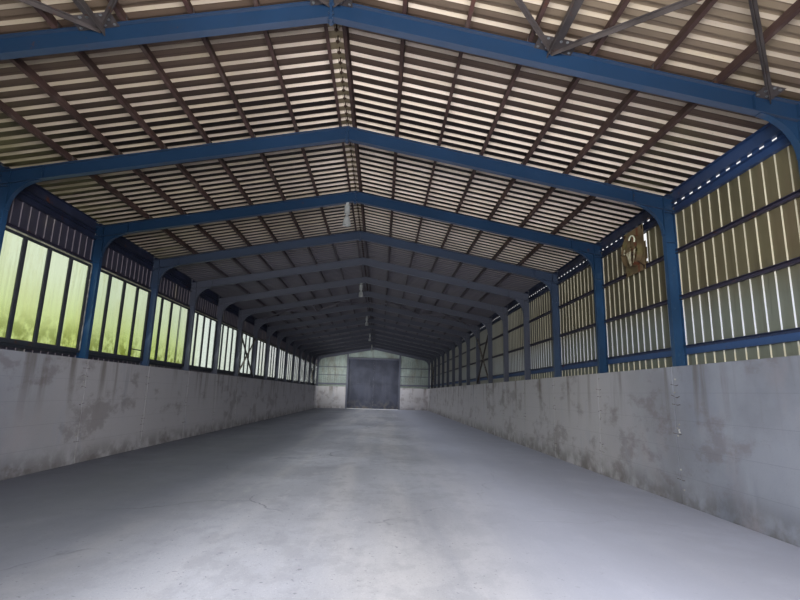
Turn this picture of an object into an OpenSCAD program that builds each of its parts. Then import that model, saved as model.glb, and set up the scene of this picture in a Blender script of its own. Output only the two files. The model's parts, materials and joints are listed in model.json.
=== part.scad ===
/* [Hall] */
// Distance between neighbouring portal frames
bay = 1500; // [1200:10:1800]
// Number of bays along the hall
bays = 18; // [17:1:18]
// Half the span, from the ridge to a column centre line
half_span = 3020; // [2700:10:3300]
// Rafter underside above the floor at the column centre line
eave_h = 2594; // [2560:2:2700]
// Slope of the roof in degrees
roof_pitch = 10.8; // [8:0.1:13]

/* [Floor and dado] */
// Thickness of the floor slab
slab_t = 75; // [50:5:150]
// Height of the dado wall above the floor
dado_h = 1145; // [1000:5:1160]
// How far the dado stands inside the columns; outside it is flush with them
dado_proud = 15; // [12:1:30]
// Distance that the mortar strip runs past the frame line
mortar_past = 10; // [0:1:20]

/* [Steel frames] */
// Depth of a column section across the hall
column_d = 104; // [90:1:130]
// Flange width of columns and rafters
flange_w = 56; // [46:1:80]
// Flange thickness
flange_t = 8; // [5:0.5:12]
// Web thickness
web_t = 6; // [4:0.5:10]
// Depth of a rafter, measured upright
rafter_d = 130; // [110:1:160]
// Radius of the curved knee haunch
knee_r = 300; // [180:5:340]
// How much the knee flange is narrower than the column flange, on each side
knee_inset = 5; // [2:1:20]
// Thickness of the foot plates and ridge plates
plate_t = 8; // [5:0.5:12]
// How far the ridge plates reach below the rafters
ridge_drop = 22; // [10:1:40]

/* [Roof] */
// Depth of a purlin
purlin_d = 60; // [45:1:80]
// Flange width of a purlin
purlin_w = 26; // [20:1:40]
// Lip along the edges of a purlin
purlin_lip = 10; // [6:1:16]
// Wall thickness of the cold formed sections
section_t = 3; // [2:0.5:4]
// Number of purlins on one slope
purlins = 6; // [5:1:6]
// First purlin, measured from the ridge
purlin_first = 450; // [400:5:500]
// Distance between purlins
purlin_step = 401; // [380:1:420]
// Ridge purlin, measured from the ridge
ridge_purlin_x = 62; // [48:1:80]
// Overhang of the roof sheet past the wall sheet
eave_overhang = 60; // [30:5:120]
// Half the gap between the two roof sheets at the ridge
ridge_gap = 16; // [8:1:30]
// Width of one side of the ridge cap
ridge_cap_w = 150; // [110:5:250]
// Width of a verge trim on the roof
verge_w = 90; // [60:1:120]
// How far a verge trim reaches below the roof sheet
verge_drop = 60; // [40:1:90]

/* [Trapezoidal sheet] */
// Distance between ribs, as ribs in one bay
ribs_per_bay = 13; // [10:1:15]
// Height of a rib on the roof
roof_rib_h = 22; // [18:1:30]
// Width of a roof rib at its foot
roof_rib_foot = 62; // [50:1:70]
// Width of a roof rib at its crown
roof_rib_crown = 36; // [20:1:46]
// Height of a rib on the walls and gables
wall_rib_h = 10; // [6:1:16]
// Width of a wall rib at its foot
wall_rib_foot = 60; // [54:1:66]
// Width of a wall rib at its crown
wall_rib_crown = 54; // [40:1:58]
// Thickness of the sheet
sheet_t = 2; // [1.5:0.5:4]
// How far the wall sheets lap over the dado
sheet_lap = 20; // [10:1:40]
// Gap between neighbouring gable sheets
sheet_joint = 2; // [1:0.5:6]
// Width of one leg of a corner trim
trim_w = 80; // [60:1:100]

/* [Wall rails] */
// Depth of a wall rail across the wall
rail_w = 34; // [28:1:44]
// Underside of the main rail above the dado
main_rail_up = 105; // [85:1:155]
// Height of the main rail section
main_rail_d = 80; // [60:1:100]
// Centre of the middle rail above the underside of the main rail
mid_rail_up = 510; // [450:1:550]
// Centre of the upper rail above the centre of the middle rail
top_rail_up = 430; // [360:1:470]
// Height of the middle and upper rail sections
thin_rail_d = 34; // [28:1:50]
// Underside of the lower eave band below the corner of column and rafter
eave_band_drop = 44; // [34:1:94]
// Height of the lower eave band
eave_band_d = 75; // [60:1:80]
// Gap between the lower eave band and the eave beam
eave_slot = 35; // [20:1:45]

/* [Windows] */
// Window sill above the dado
sill_up = 72; // [60:1:95]
// Height of a window from sill to head
window_h = 1037; // [930:1:1080]
// Panes in one bay
panes = 4; // [3:1:5]
// Bay in which the last two panes are one wide pane, counted from the front
wide_pane_bay = 5; // [0:1:16]
// Width of a frame member seen from inside
frame_w = 34; // [25:1:45]
// Depth of the window frame
frame_d = 30; // [20:1:36]
// Distance of the window frame from the outer face of the columns
frame_set = 2; // [1:0.5:4]
// Thickness of the glass
glass_t = 4; // [3:0.5:6]
// Height of the rail strip below the sill and above the head
trim_rail_d = 34; // [25:1:40]

/* [Doors] */
// Half the width of a doorway
door_half = 1375; // [1200:5:1400]
// Height of a doorway above the floor
door_h = 2640; // [2500:5:2640]
// Width of a door post
post_w = 90; // [70:1:110]
// Height of the lintel
lintel_d = 80; // [60:1:90]
// How far the sheet over a doorway stops above the lintel's underside
lintel_show = 20; // [5:1:40]
// How far a closed leaf laps over its post
leaf_lap = 25; // [15:1:40]
// Thickness of a leaf frame
leaf_t = 34; // [25:1:40]
// Width of a leaf frame tube
leaf_tube = 50; // [40:1:70]
// Thickness of the skin of a leaf
leaf_skin = 5; // [3:1:8]
// Number of folded ribs on the outside of a leaf
leaf_ribs = 9; // [5:1:12]
// Width of a leaf rib at its foot
leaf_rib_w = 60; // [30:1:80]
// Height of a leaf rib
leaf_rib_h = 8; // [4:1:12]
// Clearance between the leaves and the gable sheet
leaf_gap = 10; // [6:1:15]
// Gap between the two closed leaves of a doorway
meeting_gap = 5; // [5:0.5:10]
// Clearance under a leaf
leaf_floor_gap = 12; // [8:1:20]
// Height of the track bar
track_d = 40; // [30:1:50]
// Thickness of the track bar
track_t = 8; // [6:1:12]
// Distance of the track from the inner face of a leaf
track_off = 16; // [12:1:20]
// Gap between a leaf and the track above it
track_rise = 35; // [20:1:40]
// How far the track runs past an open leaf
track_past = 20; // [10:1:40]
// Number of brackets under one track
track_brackets = 13; // [9:1:15]
// Width of a track bracket
bracket_w = 20; // [12:1:30]
// Radius of a hanger wheel
wheel_r = 25; // [18:1:30]
// Width of a hanger plate
hanger_w = 40; // [24:1:60]
// Thickness of a hanger plate
hanger_t = 6; // [4:0.5:8]
// Distance of a hanger from the end of its leaf
hanger_inset = 210; // [120:5:300]

/* [Bracing] */
// Half slope split of the roof bracing, measured from the ridge
brace_mid_x = 1415; // [1300:5:1500]
// Width of a brace angle
brace_w = 34; // [25:1:45]
// Thickness of a brace angle
brace_t = 4; // [3:0.5:6]
// Size of a gusset plate of the wall bracing
wall_gusset = 130; // [100:5:180]
// Size of a gusset plate of the roof bracing
roof_gusset = 240; // [180:5:280]
// Width of each leg of the strut at mid slope
strut_w = 60; // [45:1:75]
// Height of the wall bracing above the dado
brace_foot = 20; // [5:1:60]
// Distance of the wall bracing below the window head
brace_head = 40; // [10:1:80]

/* [Lamps and ventilator] */
// Distance of the lamps from the ridge line
lamp_x = 90; // [75:1:120]
// Height of a lamp, from its hook to the rim of the reflector
lamp_len = 290; // [240:5:320]
// Largest radius of a lamp
lamp_r = 50; // [42:1:60]
// Height of the reflector
reflector_h = 120; // [90:1:140]
// Radius of the ballast housing
ballast_r = 33; // [26:1:38]
// Height of the ballast housing
ballast_h = 110; // [80:1:120]
// Radius of the neck between housing and reflector
neck_r = 18; // [12:1:22]
// Width of the ventilator plate along the wall
vent_plate_w = 395; // [370:5:420]
// Height of the ventilator plate
vent_plate_h = 480; // [440:5:490]
// How far the ventilator plate laps over the opening in the sheet
vent_lap = 8; // [4:1:20]
// Width of the flashing round the opening
vent_flashing = 26; // [18:1:40]
// Centre of the ventilator above the centre of the upper rail
vent_up = 205; // [160:5:210]
// Distance of the ventilator centre from the frame before it
vent_along = 660; // [500:5:900]
// Outer radius of the ventilator ring
vent_ring_r = 172; // [150:1:180]
// Depth of the ventilator ring
vent_ring_d = 60; // [40:1:80]
// Thickness of the ventilator plate
vent_plate_t = 6; // [4:0.5:8]
// Radius of the ventilator motor
vent_motor_r = 45; // [30:1:60]
// Length of the ventilator motor
vent_motor_len = 100; // [80:5:105]
// Height of the bar that carries the motor
vent_bar_h = 26; // [16:1:36]
// Width of a ventilator blade at its tip
vent_blade_w = 120; // [80:1:140]
// Slant of a ventilator blade in degrees
vent_blade_slant = 22; // [0:1:25]

/* [Hidden] */

// Clearance between pieces that are bolted up to each other
seat = 0.2;
length = bay * bays;
roof_tan = tan(roof_pitch);
roof_cos = cos(roof_pitch);
column_in = half_span - column_d / 2;
column_out = half_span + column_d / 2;
apex_h = eave_h + half_span * roof_tan;
sheet_in = column_out + seat;
sheet_out = sheet_in + wall_rib_h + sheet_t;
gable_in = length / 2 + flange_w / 2;
gable_sheet_in = gable_in + seat;
gable_sheet_out = gable_sheet_in + wall_rib_h + sheet_t;
dado_in = column_in - dado_proud;
dado_t = column_out - dado_in;
gable_dado_in = gable_in - dado_t;
rib_pitch = bay / ribs_per_bay;
main_rail_h = dado_h + main_rail_up;
mid_rail_h = main_rail_h + mid_rail_up;
top_rail_h = mid_rail_h + top_rail_up;
eave_band_h = eave_h - eave_band_drop;
sill_h = dado_h + sill_up;
head_h = sill_h + window_h;
vent_h = top_rail_h + vent_up;
wall_sheet_low = dado_h - sheet_lap;
wall_sheet_high = eave_band_h + eave_band_d;
eave_beam_low = wall_sheet_high + eave_slot;
purlin_foot = rafter_d + seat;
sheet_seat = (purlin_foot + purlin_d / roof_cos) + seat / roof_cos;
roof_crown = sheet_seat + (roof_rib_h + sheet_t) / roof_cos;
brace_bays = [1, floor(bays / 2) - 1, bays - 2];
lamp_frames = [for (j = [1 : 3 : bays - 1]) j];
vent_bay = 3;
window_out = column_out - frame_set;
// Roundness of wheels, lamps and rings, and of the knees
fine = 32;
knee_fine = 96;

// Rafter underside above the floor at a distance from the ridge
function under(x) = apex_h - abs(x) * roof_tan;
// Place of a portal frame along the hall
function frame_y(j) = (j - bays / 2) * bay;

// Everything above the floor is measured from its top face
module above_floor() translate([0, 0, slab_t]) children();

// The same piece on both sides of the ridge is a mirror image
module on_side(side) mirror([side < 0 ? 1 : 0, 0, 0]) children();

// The same piece on both gables is a mirror image
module on_gable(end) mirror([0, end < 0 ? 1 : 0, 0]) children();

// An outline drawn across the hall, made wide along the hall
module across(wide) rotate([90, 0, 0]) linear_extrude(height = wide, center = true) children();

// A band that follows the rafter underside, from one height over it to another
module slope_band(x0, x1, low, high)
    polygon([[x0, under(x0) + low], [x1, under(x1) + low], [x1, under(x1) + high], [x0, under(x0) + high]]);

// Local axes on one slope: X down the slope, Y along the hall, Z out of the roof
module on_slope(height) translate([0, 0, apex_h + height]) rotate([0, roof_pitch, 0]) children();

// Channel outline, open towards +X, with its back on the Y axis and lips along its edges if it has any
module channel(wide, high, t, lip = 0) {
    difference() {
        square([wide, high]);
        translate([t, t]) square([lip > 0 ? wide - 2 * t : wide, high - 2 * t]);
        if (lip > 0) translate([wide / 2, lip]) square([wide, high - 2 * lip]);
    }
}

// A straight strip between two points, for bracing outlines
module strip(p, q, w) {
    run = q - p;
    off = [-run[1], run[0]] / norm(run) * w / 2;
    polygon([p + off, q + off, q - off, p - off]);
}

// Rib profiles of the sheets as [height, width at the foot, width at the crown]
roof_profile = [roof_rib_h, roof_rib_foot, roof_rib_crown];
wall_profile = [wall_rib_h, wall_rib_foot, wall_rib_crown];

// Trapezoidal sheet: X along the ribs, Y across them from y0 to y1, ribs on the +Z side
module ribbed(profile, long, y0, y1, flat_outside = false) {
    high = profile[0];
    foot = profile[1];
    crown = profile[2];
    first = ceil(y0 / rib_pitch);
    last = floor(y1 / rib_pitch) - 1;
    rise = (foot - crown) / 2;
    pan = rib_pitch - foot;
    face = concat(
        [[y0, 0]],
        [for (i = [first : last]) let (y = i * rib_pitch + pan / 2)
            each [[y, 0], [y + rise, high], [y + rise + crown, high], [y + foot, 0]]],
        [[y1, 0]]);
    back = flat_outside ? [[y1, high + sheet_t], [y0, high + sheet_t]]
        : [for (i = [len(face) - 1 : -1 : 0]) face[i] + [0, sheet_t]];
    rotate([90, 0, 90]) linear_extrude(height = long) polygon(concat(face, back));
}

// Sheet on a side wall, from one height to another
module side_sheet(z0, z1, flat_outside = false)
    translate([sheet_in, 0, z0]) mirror([1, 0, 0]) rotate([0, -90, 0])
        ribbed(wall_profile, z1 - z0, -gable_sheet_out, gable_sheet_out, flat_outside);

// Channels between neighbouring columns, open towards the hall
module bay_rails(low, high, deep) {
    for (j = [0 : bays - 1])
        translate([column_out, frame_y(j) + bay / 2, low]) mirror([1, 0, 0])
            across(bay - flange_w - 2 * seat) channel(deep, high, section_t);
}

module floor_slab() color("darkgray")
    translate([-column_out, -gable_in, 0]) cube([2 * column_out, 2 * gable_in, slab_t]);

// Dado panel in each bay, with the mortar strip over the next column flange
module dado_side() above_floor() {
    for (j = [0 : bays - 1]) {
        start = frame_y(j) + flange_w / 2 + seat;
        end = frame_y(j + 1) - flange_w / 2 - seat;
        translate([dado_in, start, 0]) cube([dado_t, end - start, dado_h]);
        if (j < bays - 1)
            translate([dado_in, end - 1, 0])
                cube([dado_proud - seat, frame_y(j + 1) + mortar_past - end + 1, dado_h]);
    }
}

// Dado panels beside a doorway
module dado_gable() above_floor() {
    from = door_half + post_w + seat;
    for (side = [-1, 1]) on_side(side)
        translate([from, gable_dado_in, 0]) cube([dado_in - seat - from, dado_t, dado_h]);
}

module dado_left() color("gray") on_side(-1) dado_side();
module dado_right() color("gray") dado_side();
module dado_front() color("gray") on_gable(-1) dado_gable();
module dado_rear() color("gray") dado_gable();

// Column: rolled section with its foot plate, cut under the rafter
module column() {
    translate([half_span, 0, plate_t / 2]) cube([column_d, flange_w, plate_t], center = true);
    difference() {
        translate([half_span, 0, plate_t]) linear_extrude(height = eave_h) {
            for (s = [-1, 1]) translate([s * (column_d - flange_t) / 2, 0])
                square([flange_t, flange_w], center = true);
            square([column_d - flange_t, web_t], center = true);
        }
        across(2 * flange_w) slope_band(half_span - column_d, half_span + column_d, -seat, eave_h);
    }
}

// Knee haunch: web plate and curved inner flange, which runs on from the column into the rafter
module knee() {
    turn = 90 - roof_pitch;
    cx = column_in - 2 * seat - knee_r;
    centre = [cx, under(cx) - (knee_r + 2 * seat) / roof_cos];
    away = [cos(turn), sin(turn)];
    corner = [column_in - seat, under(column_in - seat) - seat / roof_cos];
    across(web_t) difference() {
        polygon([centre, [column_in - seat, centre[1]], corner, centre + (knee_r + seat) * away]);
        translate(centre) circle(r = knee_r - flange_t / 2, $fn = knee_fine);
    }
    across(flange_w - 2 * knee_inset) translate(centre) intersection() {
        difference() {
            circle(r = knee_r, $fn = knee_fine);
            circle(r = knee_r - flange_t, $fn = knee_fine);
        }
        polygon([[0, 0], [2 * knee_r, 0], [2 * knee_r, 2 * knee_r], 2 * knee_r * away]);
    }
}

// Rafter: upright web with a flange along each edge
module rafter() {
    start = plate_t + seat;
    across(web_t) slope_band(start, column_out, flange_t / 2, rafter_d - flange_t / 2);
    across(flange_w) slope_band(start, column_out, 0, flange_t);
    across(flange_w) slope_band(start, column_out, rafter_d - flange_t, rafter_d);
}

// The same piece at every frame
module at_frames() above_floor() for (j = [0 : bays]) translate([0, frame_y(j), 0]) children();

module columns_left() color("steelblue") on_side(-1) at_frames() column();
module columns_right() color("steelblue") at_frames() column();
module knees_left() color("steelblue") on_side(-1) at_frames() knee();
module knees_right() color("steelblue") at_frames() knee();
module rafters_left() color("steelblue") on_side(-1) at_frames() rafter();
module rafters_right() color("steelblue") at_frames() rafter();

// Pair of end plates between the two rafters of a frame
module ridge_plates() color("steelblue") at_frames()
    for (side = [-1, 1]) on_side(side)
        translate([seat / 2, -flange_w / 2, apex_h - ridge_drop])
            cube([plate_t - seat / 2, flange_w, under(plate_t) + rafter_d - apex_h + ridge_drop]);

// One purlin: a lipped channel that stands square to the slope
module purlin(x) translate([x, 0, under(x) + purlin_foot]) rotate([0, roof_pitch, 0])
    across(2 * gable_in) channel(purlin_w, purlin_d, section_t, purlin_lip);

module purlins_side() above_floor()
    for (i = [0 : purlins - 1]) purlin(purlin_first + i * purlin_step);

module purlins_left() color("saddlebrown") on_side(-1) purlins_side();
module purlins_right() color("saddlebrown") purlins_side();
module ridge_purlins() color("saddlebrown") above_floor()
    for (side = [-1, 1]) on_side(side) purlin(ridge_purlin_x - purlin_w / 2);

// Eave beam and the lower band, between the columns of each bay
module eave_beams() above_floor() {
    top = under(column_out) + sheet_seat - seat;
    bay_rails(eave_band_h, eave_band_d, rail_w);
    bay_rails(eave_beam_low, top - eave_beam_low, rail_w);
}

module eave_beams_left() color("navy") on_side(-1) eave_beams();
module eave_beams_right() color("navy") eave_beams();

// Roof sheet on one slope, from the ridge gap to the eave overhang
module roof_sheet() above_floor()
    on_slope(sheet_seat) translate([ridge_gap, 0, 0])
        ribbed(roof_profile, (sheet_out + eave_overhang) / roof_cos - ridge_gap,
            -gable_sheet_out, gable_sheet_out);

module roof_sheet_left() color("wheat") on_side(-1) roof_sheet();
module roof_sheet_right() color("wheat") roof_sheet();

// Ridge cap bent over both slopes, resting on the rib crowns
module ridge_cap() color("wheat") above_floor() {
    low = roof_crown + seat;
    across(2 * gable_sheet_out)
        polygon([[-ridge_cap_w, under(ridge_cap_w) + low], [0, apex_h + low],
            [ridge_cap_w, under(ridge_cap_w) + low], [ridge_cap_w, under(ridge_cap_w) + low + sheet_t],
            [0, apex_h + low + sheet_t], [-ridge_cap_w, under(ridge_cap_w) + low + sheet_t]]);
}

// Block in the opening behind the ventilator, between upper rail and eave band, with a margin round it
module vent_block(from, deep, margin = 0) {
    low = top_rail_h + thin_rail_d / 2;
    wide = vent_plate_w - 2 * vent_lap + 2 * margin;
    translate([from, frame_y(vent_bay) + vent_along - wide / 2, low - margin])
        cube([deep, wide, eave_band_h - low + 2 * margin]);
}

module wall_sheet_right() color("darkkhaki") above_floor() difference() {
    side_sheet(wall_sheet_low, wall_sheet_high);
    vent_block(column_out, rail_w);
}

module wall_sheet_left() color("darkkhaki") on_side(-1) above_floor() {
    side_sheet(wall_sheet_low, sill_h - seat, flat_outside = true);
    side_sheet(head_h + seat, wall_sheet_high);
}

module wall_rails_right() color("navy") above_floor() {
    bay_rails(main_rail_h, main_rail_d, rail_w);
    bay_rails(mid_rail_h - thin_rail_d / 2, thin_rail_d, rail_w);
    bay_rails(top_rail_h - thin_rail_d / 2, thin_rail_d, rail_w);
}

module wall_rails_left() color("navy") on_side(-1) above_floor() {
    bay_rails(sill_h - trim_rail_d - seat, trim_rail_d, rail_w);
    bay_rails(head_h + seat, trim_rail_d, rail_w);
}

// Clear width of a window between two columns
window_w = bay - flange_w - 2 * seat;
pane_w = (window_w - (panes + 1) * frame_w) / panes;
pane_h = head_h - sill_h - 2 * frame_w;

// Cells of a bay's window as [first cell, number of cells] for each pane
function window_cells(j) = j == wide_pane_bay
    ? concat([for (k = [0 : panes - 3]) [k, 1]], [[panes - 2, 2]])
    : [for (k = [0 : panes - 1]) [k, 1]];
// Start of a pane, and its width, along the window
function pane_from(cell) = frame_w + cell[0] * (pane_w + frame_w);
function pane_wide(cell) = cell[1] * pane_w + (cell[1] - 1) * frame_w;

// One window frame in the wall plane: X along the hall, Y up
module window_outline(j) {
    difference() {
        square([window_w, head_h - sill_h]);
        for (cell = window_cells(j)) translate([pane_from(cell), frame_w]) square([pane_wide(cell), pane_h]);
    }
}

// Local axes on the left wall: X along the hall, Y up, Z towards the outside
module on_left_wall(j, x) translate([-x, frame_y(j) + flange_w / 2 + seat, sill_h])
    rotate([90, 0, 90]) mirror([0, 0, 1]) children();

module window_frames() color("navy") above_floor()
    for (j = [0 : bays - 1])
        on_left_wall(j, window_out - frame_d) linear_extrude(height = frame_d) window_outline(j);

module window_glass() color("yellowgreen", 0.5) above_floor()
    for (j = [0 : bays - 1], cell = window_cells(j))
        on_left_wall(j, window_out - frame_d / 2) translate([pane_from(cell) + seat, frame_w + seat, 0])
            cube([pane_wide(cell) - 2 * seat, pane_h - 2 * seat, glass_t]);

// Both diagonals of a rectangle as strips of one width
module diagonals(wide, high, w) {
    strip([0, 0], [wide, high], w);
    strip([0, high], [wide, 0], w);
}

// Crossed angles in a rectangle with a gusset plate in each corner, legs on the -Z side
module cross_brace(wide, high, gusset) {
    linear_extrude(height = brace_t) intersection() {
        square([wide, high]);
        union() {
            diagonals(wide, high, brace_w);
            for (x = [0, wide], y = [0, high]) translate([x, y]) square(gusset, center = true);
        }
    }
    translate([0, 0, brace_t - brace_w]) linear_extrude(height = brace_w) intersection() {
        square([wide, high]);
        diagonals(wide, high, brace_t);
    }
}

// Clear reach of a brace between the webs of two frames
brace_reach = bay - web_t - 2 * seat;

// Roof bracing of one bay on one slope: two crosses that meet on an angle strut at mid slope
module roof_brace(j) {
    from = [plate_t + brace_w * sin(roof_pitch) + 4 * seat, brace_mid_x, column_in - knee_r / 2];
    for (k = [0, 1])
        translate([from[k] / roof_cos, frame_y(j) + web_t / 2 + seat, 0])
            cross_brace((from[k + 1] - from[k]) / roof_cos, brace_reach, roof_gusset);
    translate([brace_mid_x / roof_cos - strut_w / 2, frame_y(j) + web_t / 2 + seat, 0]) {
        cube([strut_w, brace_reach, brace_t]);
        translate([0, 0, brace_t - strut_w]) cube([brace_t, brace_reach, strut_w]);
    }
}

module roof_braces() color("dimgray") above_floor()
    for (side = [-1, 1], j = brace_bays) on_side(side)
        on_slope(rafter_d - flange_t - 1.5 * brace_t) roof_brace(j);

// Wall bracing of one bay, behind the columns' inner flanges
module wall_brace(j, low, high)
    translate([column_in + flange_t + seat, frame_y(j) + web_t / 2 + seat, low])
        rotate([90, 0, 90]) translate([0, 0, brace_w - brace_t])
            cross_brace(brace_reach, high - low, wall_gusset);

module wall_braces_left() color("dimgray") on_side(-1) above_floor()
    for (j = brace_bays) wall_brace(j, dado_h + brace_foot, head_h - brace_head);
module wall_braces_right() color("dimgray") above_floor()
    for (j = brace_bays) wall_brace(j, dado_h + brace_foot, eave_band_h - knee_r / 2);

// Outline of a gable from the dado up to the roof sheet
module gable_outline() {
    low = wall_sheet_low;
    top = sheet_seat - seat;
    polygon([[-sheet_in, low], [sheet_in, low], [sheet_in, under(sheet_in) + top],
        [0, apex_h + top], [-sheet_in, under(sheet_in) + top]]);
}

// Gable sheet with upright ribs: two side panels and one over the doorway
module gable_sheet() above_floor() {
    side_from = door_half + sheet_joint / 2;
    over_to = door_half - sheet_joint / 2;
    over_low = door_h + lintel_show;
    spans = [[-sheet_in, -side_from, wall_sheet_low], [-over_to, over_to, over_low],
        [side_from, sheet_in, wall_sheet_low]];
    for (s = spans) intersection() {
        translate([0, gable_sheet_in, s[2]]) rotate([0, 0, -90]) rotate([0, -90, 0])
            ribbed(wall_profile, apex_h + sheet_seat - s[2], s[0], s[1]);
        translate([0, gable_sheet_in + wall_rib_h / 2, 0]) across(4 * wall_rib_h) gable_outline();
    }
}

module gable_sheet_front() color("darkkhaki") on_gable(-1) gable_sheet();
module gable_sheet_rear() color("darkkhaki") gable_sheet();

// Door posts, lintel and sheeting rails of one gable
module gable_steel() above_floor() {
    mid_y = gable_in - flange_w / 2;
    post_top = under(door_half + post_w) - seat;
    rail_from = door_half + post_w + seat;
    rail_to = column_in - seat;
    for (side = [-1, 1]) on_side(side) {
        translate([door_half, mid_y - flange_w / 2, 0]) cube([post_w, flange_w, post_top]);
        for (rail = [[main_rail_h, main_rail_d], [mid_rail_h - thin_rail_d / 2, thin_rail_d],
                [top_rail_h - thin_rail_d / 2, thin_rail_d]])
            translate([rail_from, gable_in - rail_w, rail[0]])
                cube([rail_to - rail_from, rail_w, rail[1]]);
    }
    translate([-door_half + seat, mid_y - flange_w / 2, door_h])
        cube([2 * (door_half - seat), flange_w, lintel_d]);
}

module gable_steel_front() color("steelblue") on_gable(-1) gable_steel();
module gable_steel_rear() color("steelblue") gable_steel();

// Folded trims that close the corners between side and gable sheets
module corner_trims() color("navy") above_floor()
    for (side = [-1, 1], end = [-1, 1]) on_side(side) on_gable(end)
        translate([sheet_out + seat, gable_sheet_out + seat, wall_sheet_low])
            linear_extrude(height = wall_sheet_high - wall_sheet_low) difference() {
                translate([-trim_w, -trim_w]) square(trim_w + sheet_t);
                translate([-2 * trim_w, -2 * trim_w]) square(2 * trim_w);
            }

// Folded trims along the ends of the roof: a drop in front of the gable and a leg on the roof ribs
module verge_trims() color("navy") above_floor()
    for (side = [-1, 1], end = [-1, 1]) on_side(side) on_gable(end) {
        crown = roof_crown + seat;
        roof_end = sheet_out + eave_overhang;
        front = gable_sheet_out + seat;
        translate([0, front + sheet_t / 2, 0]) across(sheet_t)
            slope_band(seat / 2, roof_end, sheet_seat - verge_drop, crown + sheet_t);
        translate([0, front - verge_w / 2, 0]) across(verge_w)
            slope_band(ridge_cap_w + seat, roof_end, crown, crown + sheet_t);
    }

// Places of a leaf and its track: X from the middle of the doorway, Y out of the gable
leaf_from = meeting_gap / 2;
leaf_w = door_half + leaf_lap - leaf_from;
leaf_low = leaf_floor_gap;
leaf_high = door_h + leaf_lap;
leaf_y = gable_sheet_out + leaf_gap;
track_y = leaf_y + track_off;
track_low = leaf_high + track_rise;
leaf_travel = door_half;
track_end = leaf_from + leaf_w + leaf_travel + track_past;
hanger_y = track_y + track_t + hanger_t;
wheel_z = track_low + track_d + wheel_r + 1.5 * seat;

// Track bar on stand-off brackets over one doorway
module door_track() above_floor() {
    front = gable_sheet_out + seat;
    step = (2 * track_end - 3 * bracket_w) / (track_brackets - 1);
    translate([-track_end, track_y, track_low]) cube([2 * track_end, track_t, track_d]);
    for (i = [0 : track_brackets - 1])
        translate([-track_end + bracket_w + i * step, front, track_low])
            cube([bracket_w, track_y - front, track_d - track_t]);
}

module door_track_front() color("navy") on_gable(-1) door_track();
module door_track_rear() color("navy") door_track();

// Folded ribs on the outside of a leaf skin
module leaf_ribbing() {
    step = leaf_w / leaf_ribs;
    slant = leaf_rib_h;
    for (k = [0 : leaf_ribs - 1])
        translate([(k + 0.5) * step, leaf_y + leaf_t - seat, leaf_low + leaf_tube])
            linear_extrude(height = leaf_high - leaf_low - 2 * leaf_tube)
                polygon([[-leaf_rib_w / 2, 0], [leaf_rib_w / 2, 0],
                    [leaf_rib_w / 2 - slant, leaf_rib_h], [slant - leaf_rib_w / 2, leaf_rib_h]]);
}

// Hanger plate and wheel that carry a leaf on its track
module leaf_hanger() {
    translate([-hanger_w / 2, hanger_y, leaf_high - seat])
        cube([hanger_w, hanger_t, wheel_z + wheel_r - leaf_high]);
    translate([0, track_y - wheel_r / 10, wheel_z]) rotate([-90, 0, 0])
        cylinder(r = wheel_r, h = hanger_y - track_y + wheel_r / 10 + seat, $fn = fine);
}

// Leaf frame of tubes with a ribbed skin, hung from two wheels
module leaf() translate([leaf_from, 0, 0]) {
    panel_h = (leaf_high - leaf_low - 3 * leaf_tube) / 2;
    difference() {
        translate([0, leaf_y, leaf_low]) cube([leaf_w, leaf_t, leaf_high - leaf_low]);
        for (k = [0, 1])
            translate([leaf_tube, leaf_y - leaf_t, leaf_low + leaf_tube + k * (panel_h + leaf_tube)])
                cube([leaf_w - 2 * leaf_tube, 2 * leaf_t - leaf_skin, panel_h]);
    }
    leaf_ribbing();
    for (x = [hanger_inset, leaf_w - hanger_inset]) translate([x, 0, 0]) leaf_hanger();
}

module rear_leaf_right() color("slategray") above_floor() leaf();
module rear_leaf_left() color("slategray") on_side(-1) above_floor() leaf();
module front_leaf_right() color("slategray") on_gable(-1) above_floor()
    translate([leaf_travel, 0, 0]) leaf();
module front_leaf_left() color("slategray") on_side(-1) on_gable(-1) above_floor()
    translate([leaf_travel, 0, 0]) leaf();

// Lamp: bracket on the rafter, hook, ballast housing, neck and open bell reflector
module lamp() {
    rim = under(lamp_x) - seat - lamp_len;
    wall = section_t;
    ballast_z = lamp_len - ballast_h - 2 * neck_r;
    translate([-lamp_x, 0, rim]) {
        translate([0, 0, ballast_z + ballast_h - seat]) cylinder(r = neck_r / 2, h = neck_r * 1.6, $fn = fine);
        rotate_extrude($fn = fine) polygon([
            [0, ballast_z + ballast_h], [ballast_r - wall, ballast_z + ballast_h],
            [ballast_r, ballast_z + ballast_h - wall], [ballast_r, ballast_z + wall],
            [ballast_r - wall, ballast_z], [neck_r, ballast_z], [neck_r, reflector_h],
            [ballast_r, 0.8 * reflector_h], [lamp_r - 2 * wall, reflector_h / 2], [lamp_r, 0],
            [lamp_r - wall, 0], [lamp_r - 3 * wall, reflector_h / 2 - wall],
            [ballast_r - wall, 0.8 * reflector_h - wall], [0, 0.8 * reflector_h - wall]]);
    }
    across(flange_w / 2) slope_band(-lamp_x - neck_r, -lamp_x + neck_r, -neck_r, -seat);
}

module lamps() color("gainsboro") above_floor() for (j = lamp_frames) translate([0, frame_y(j), 0]) lamp();

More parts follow.
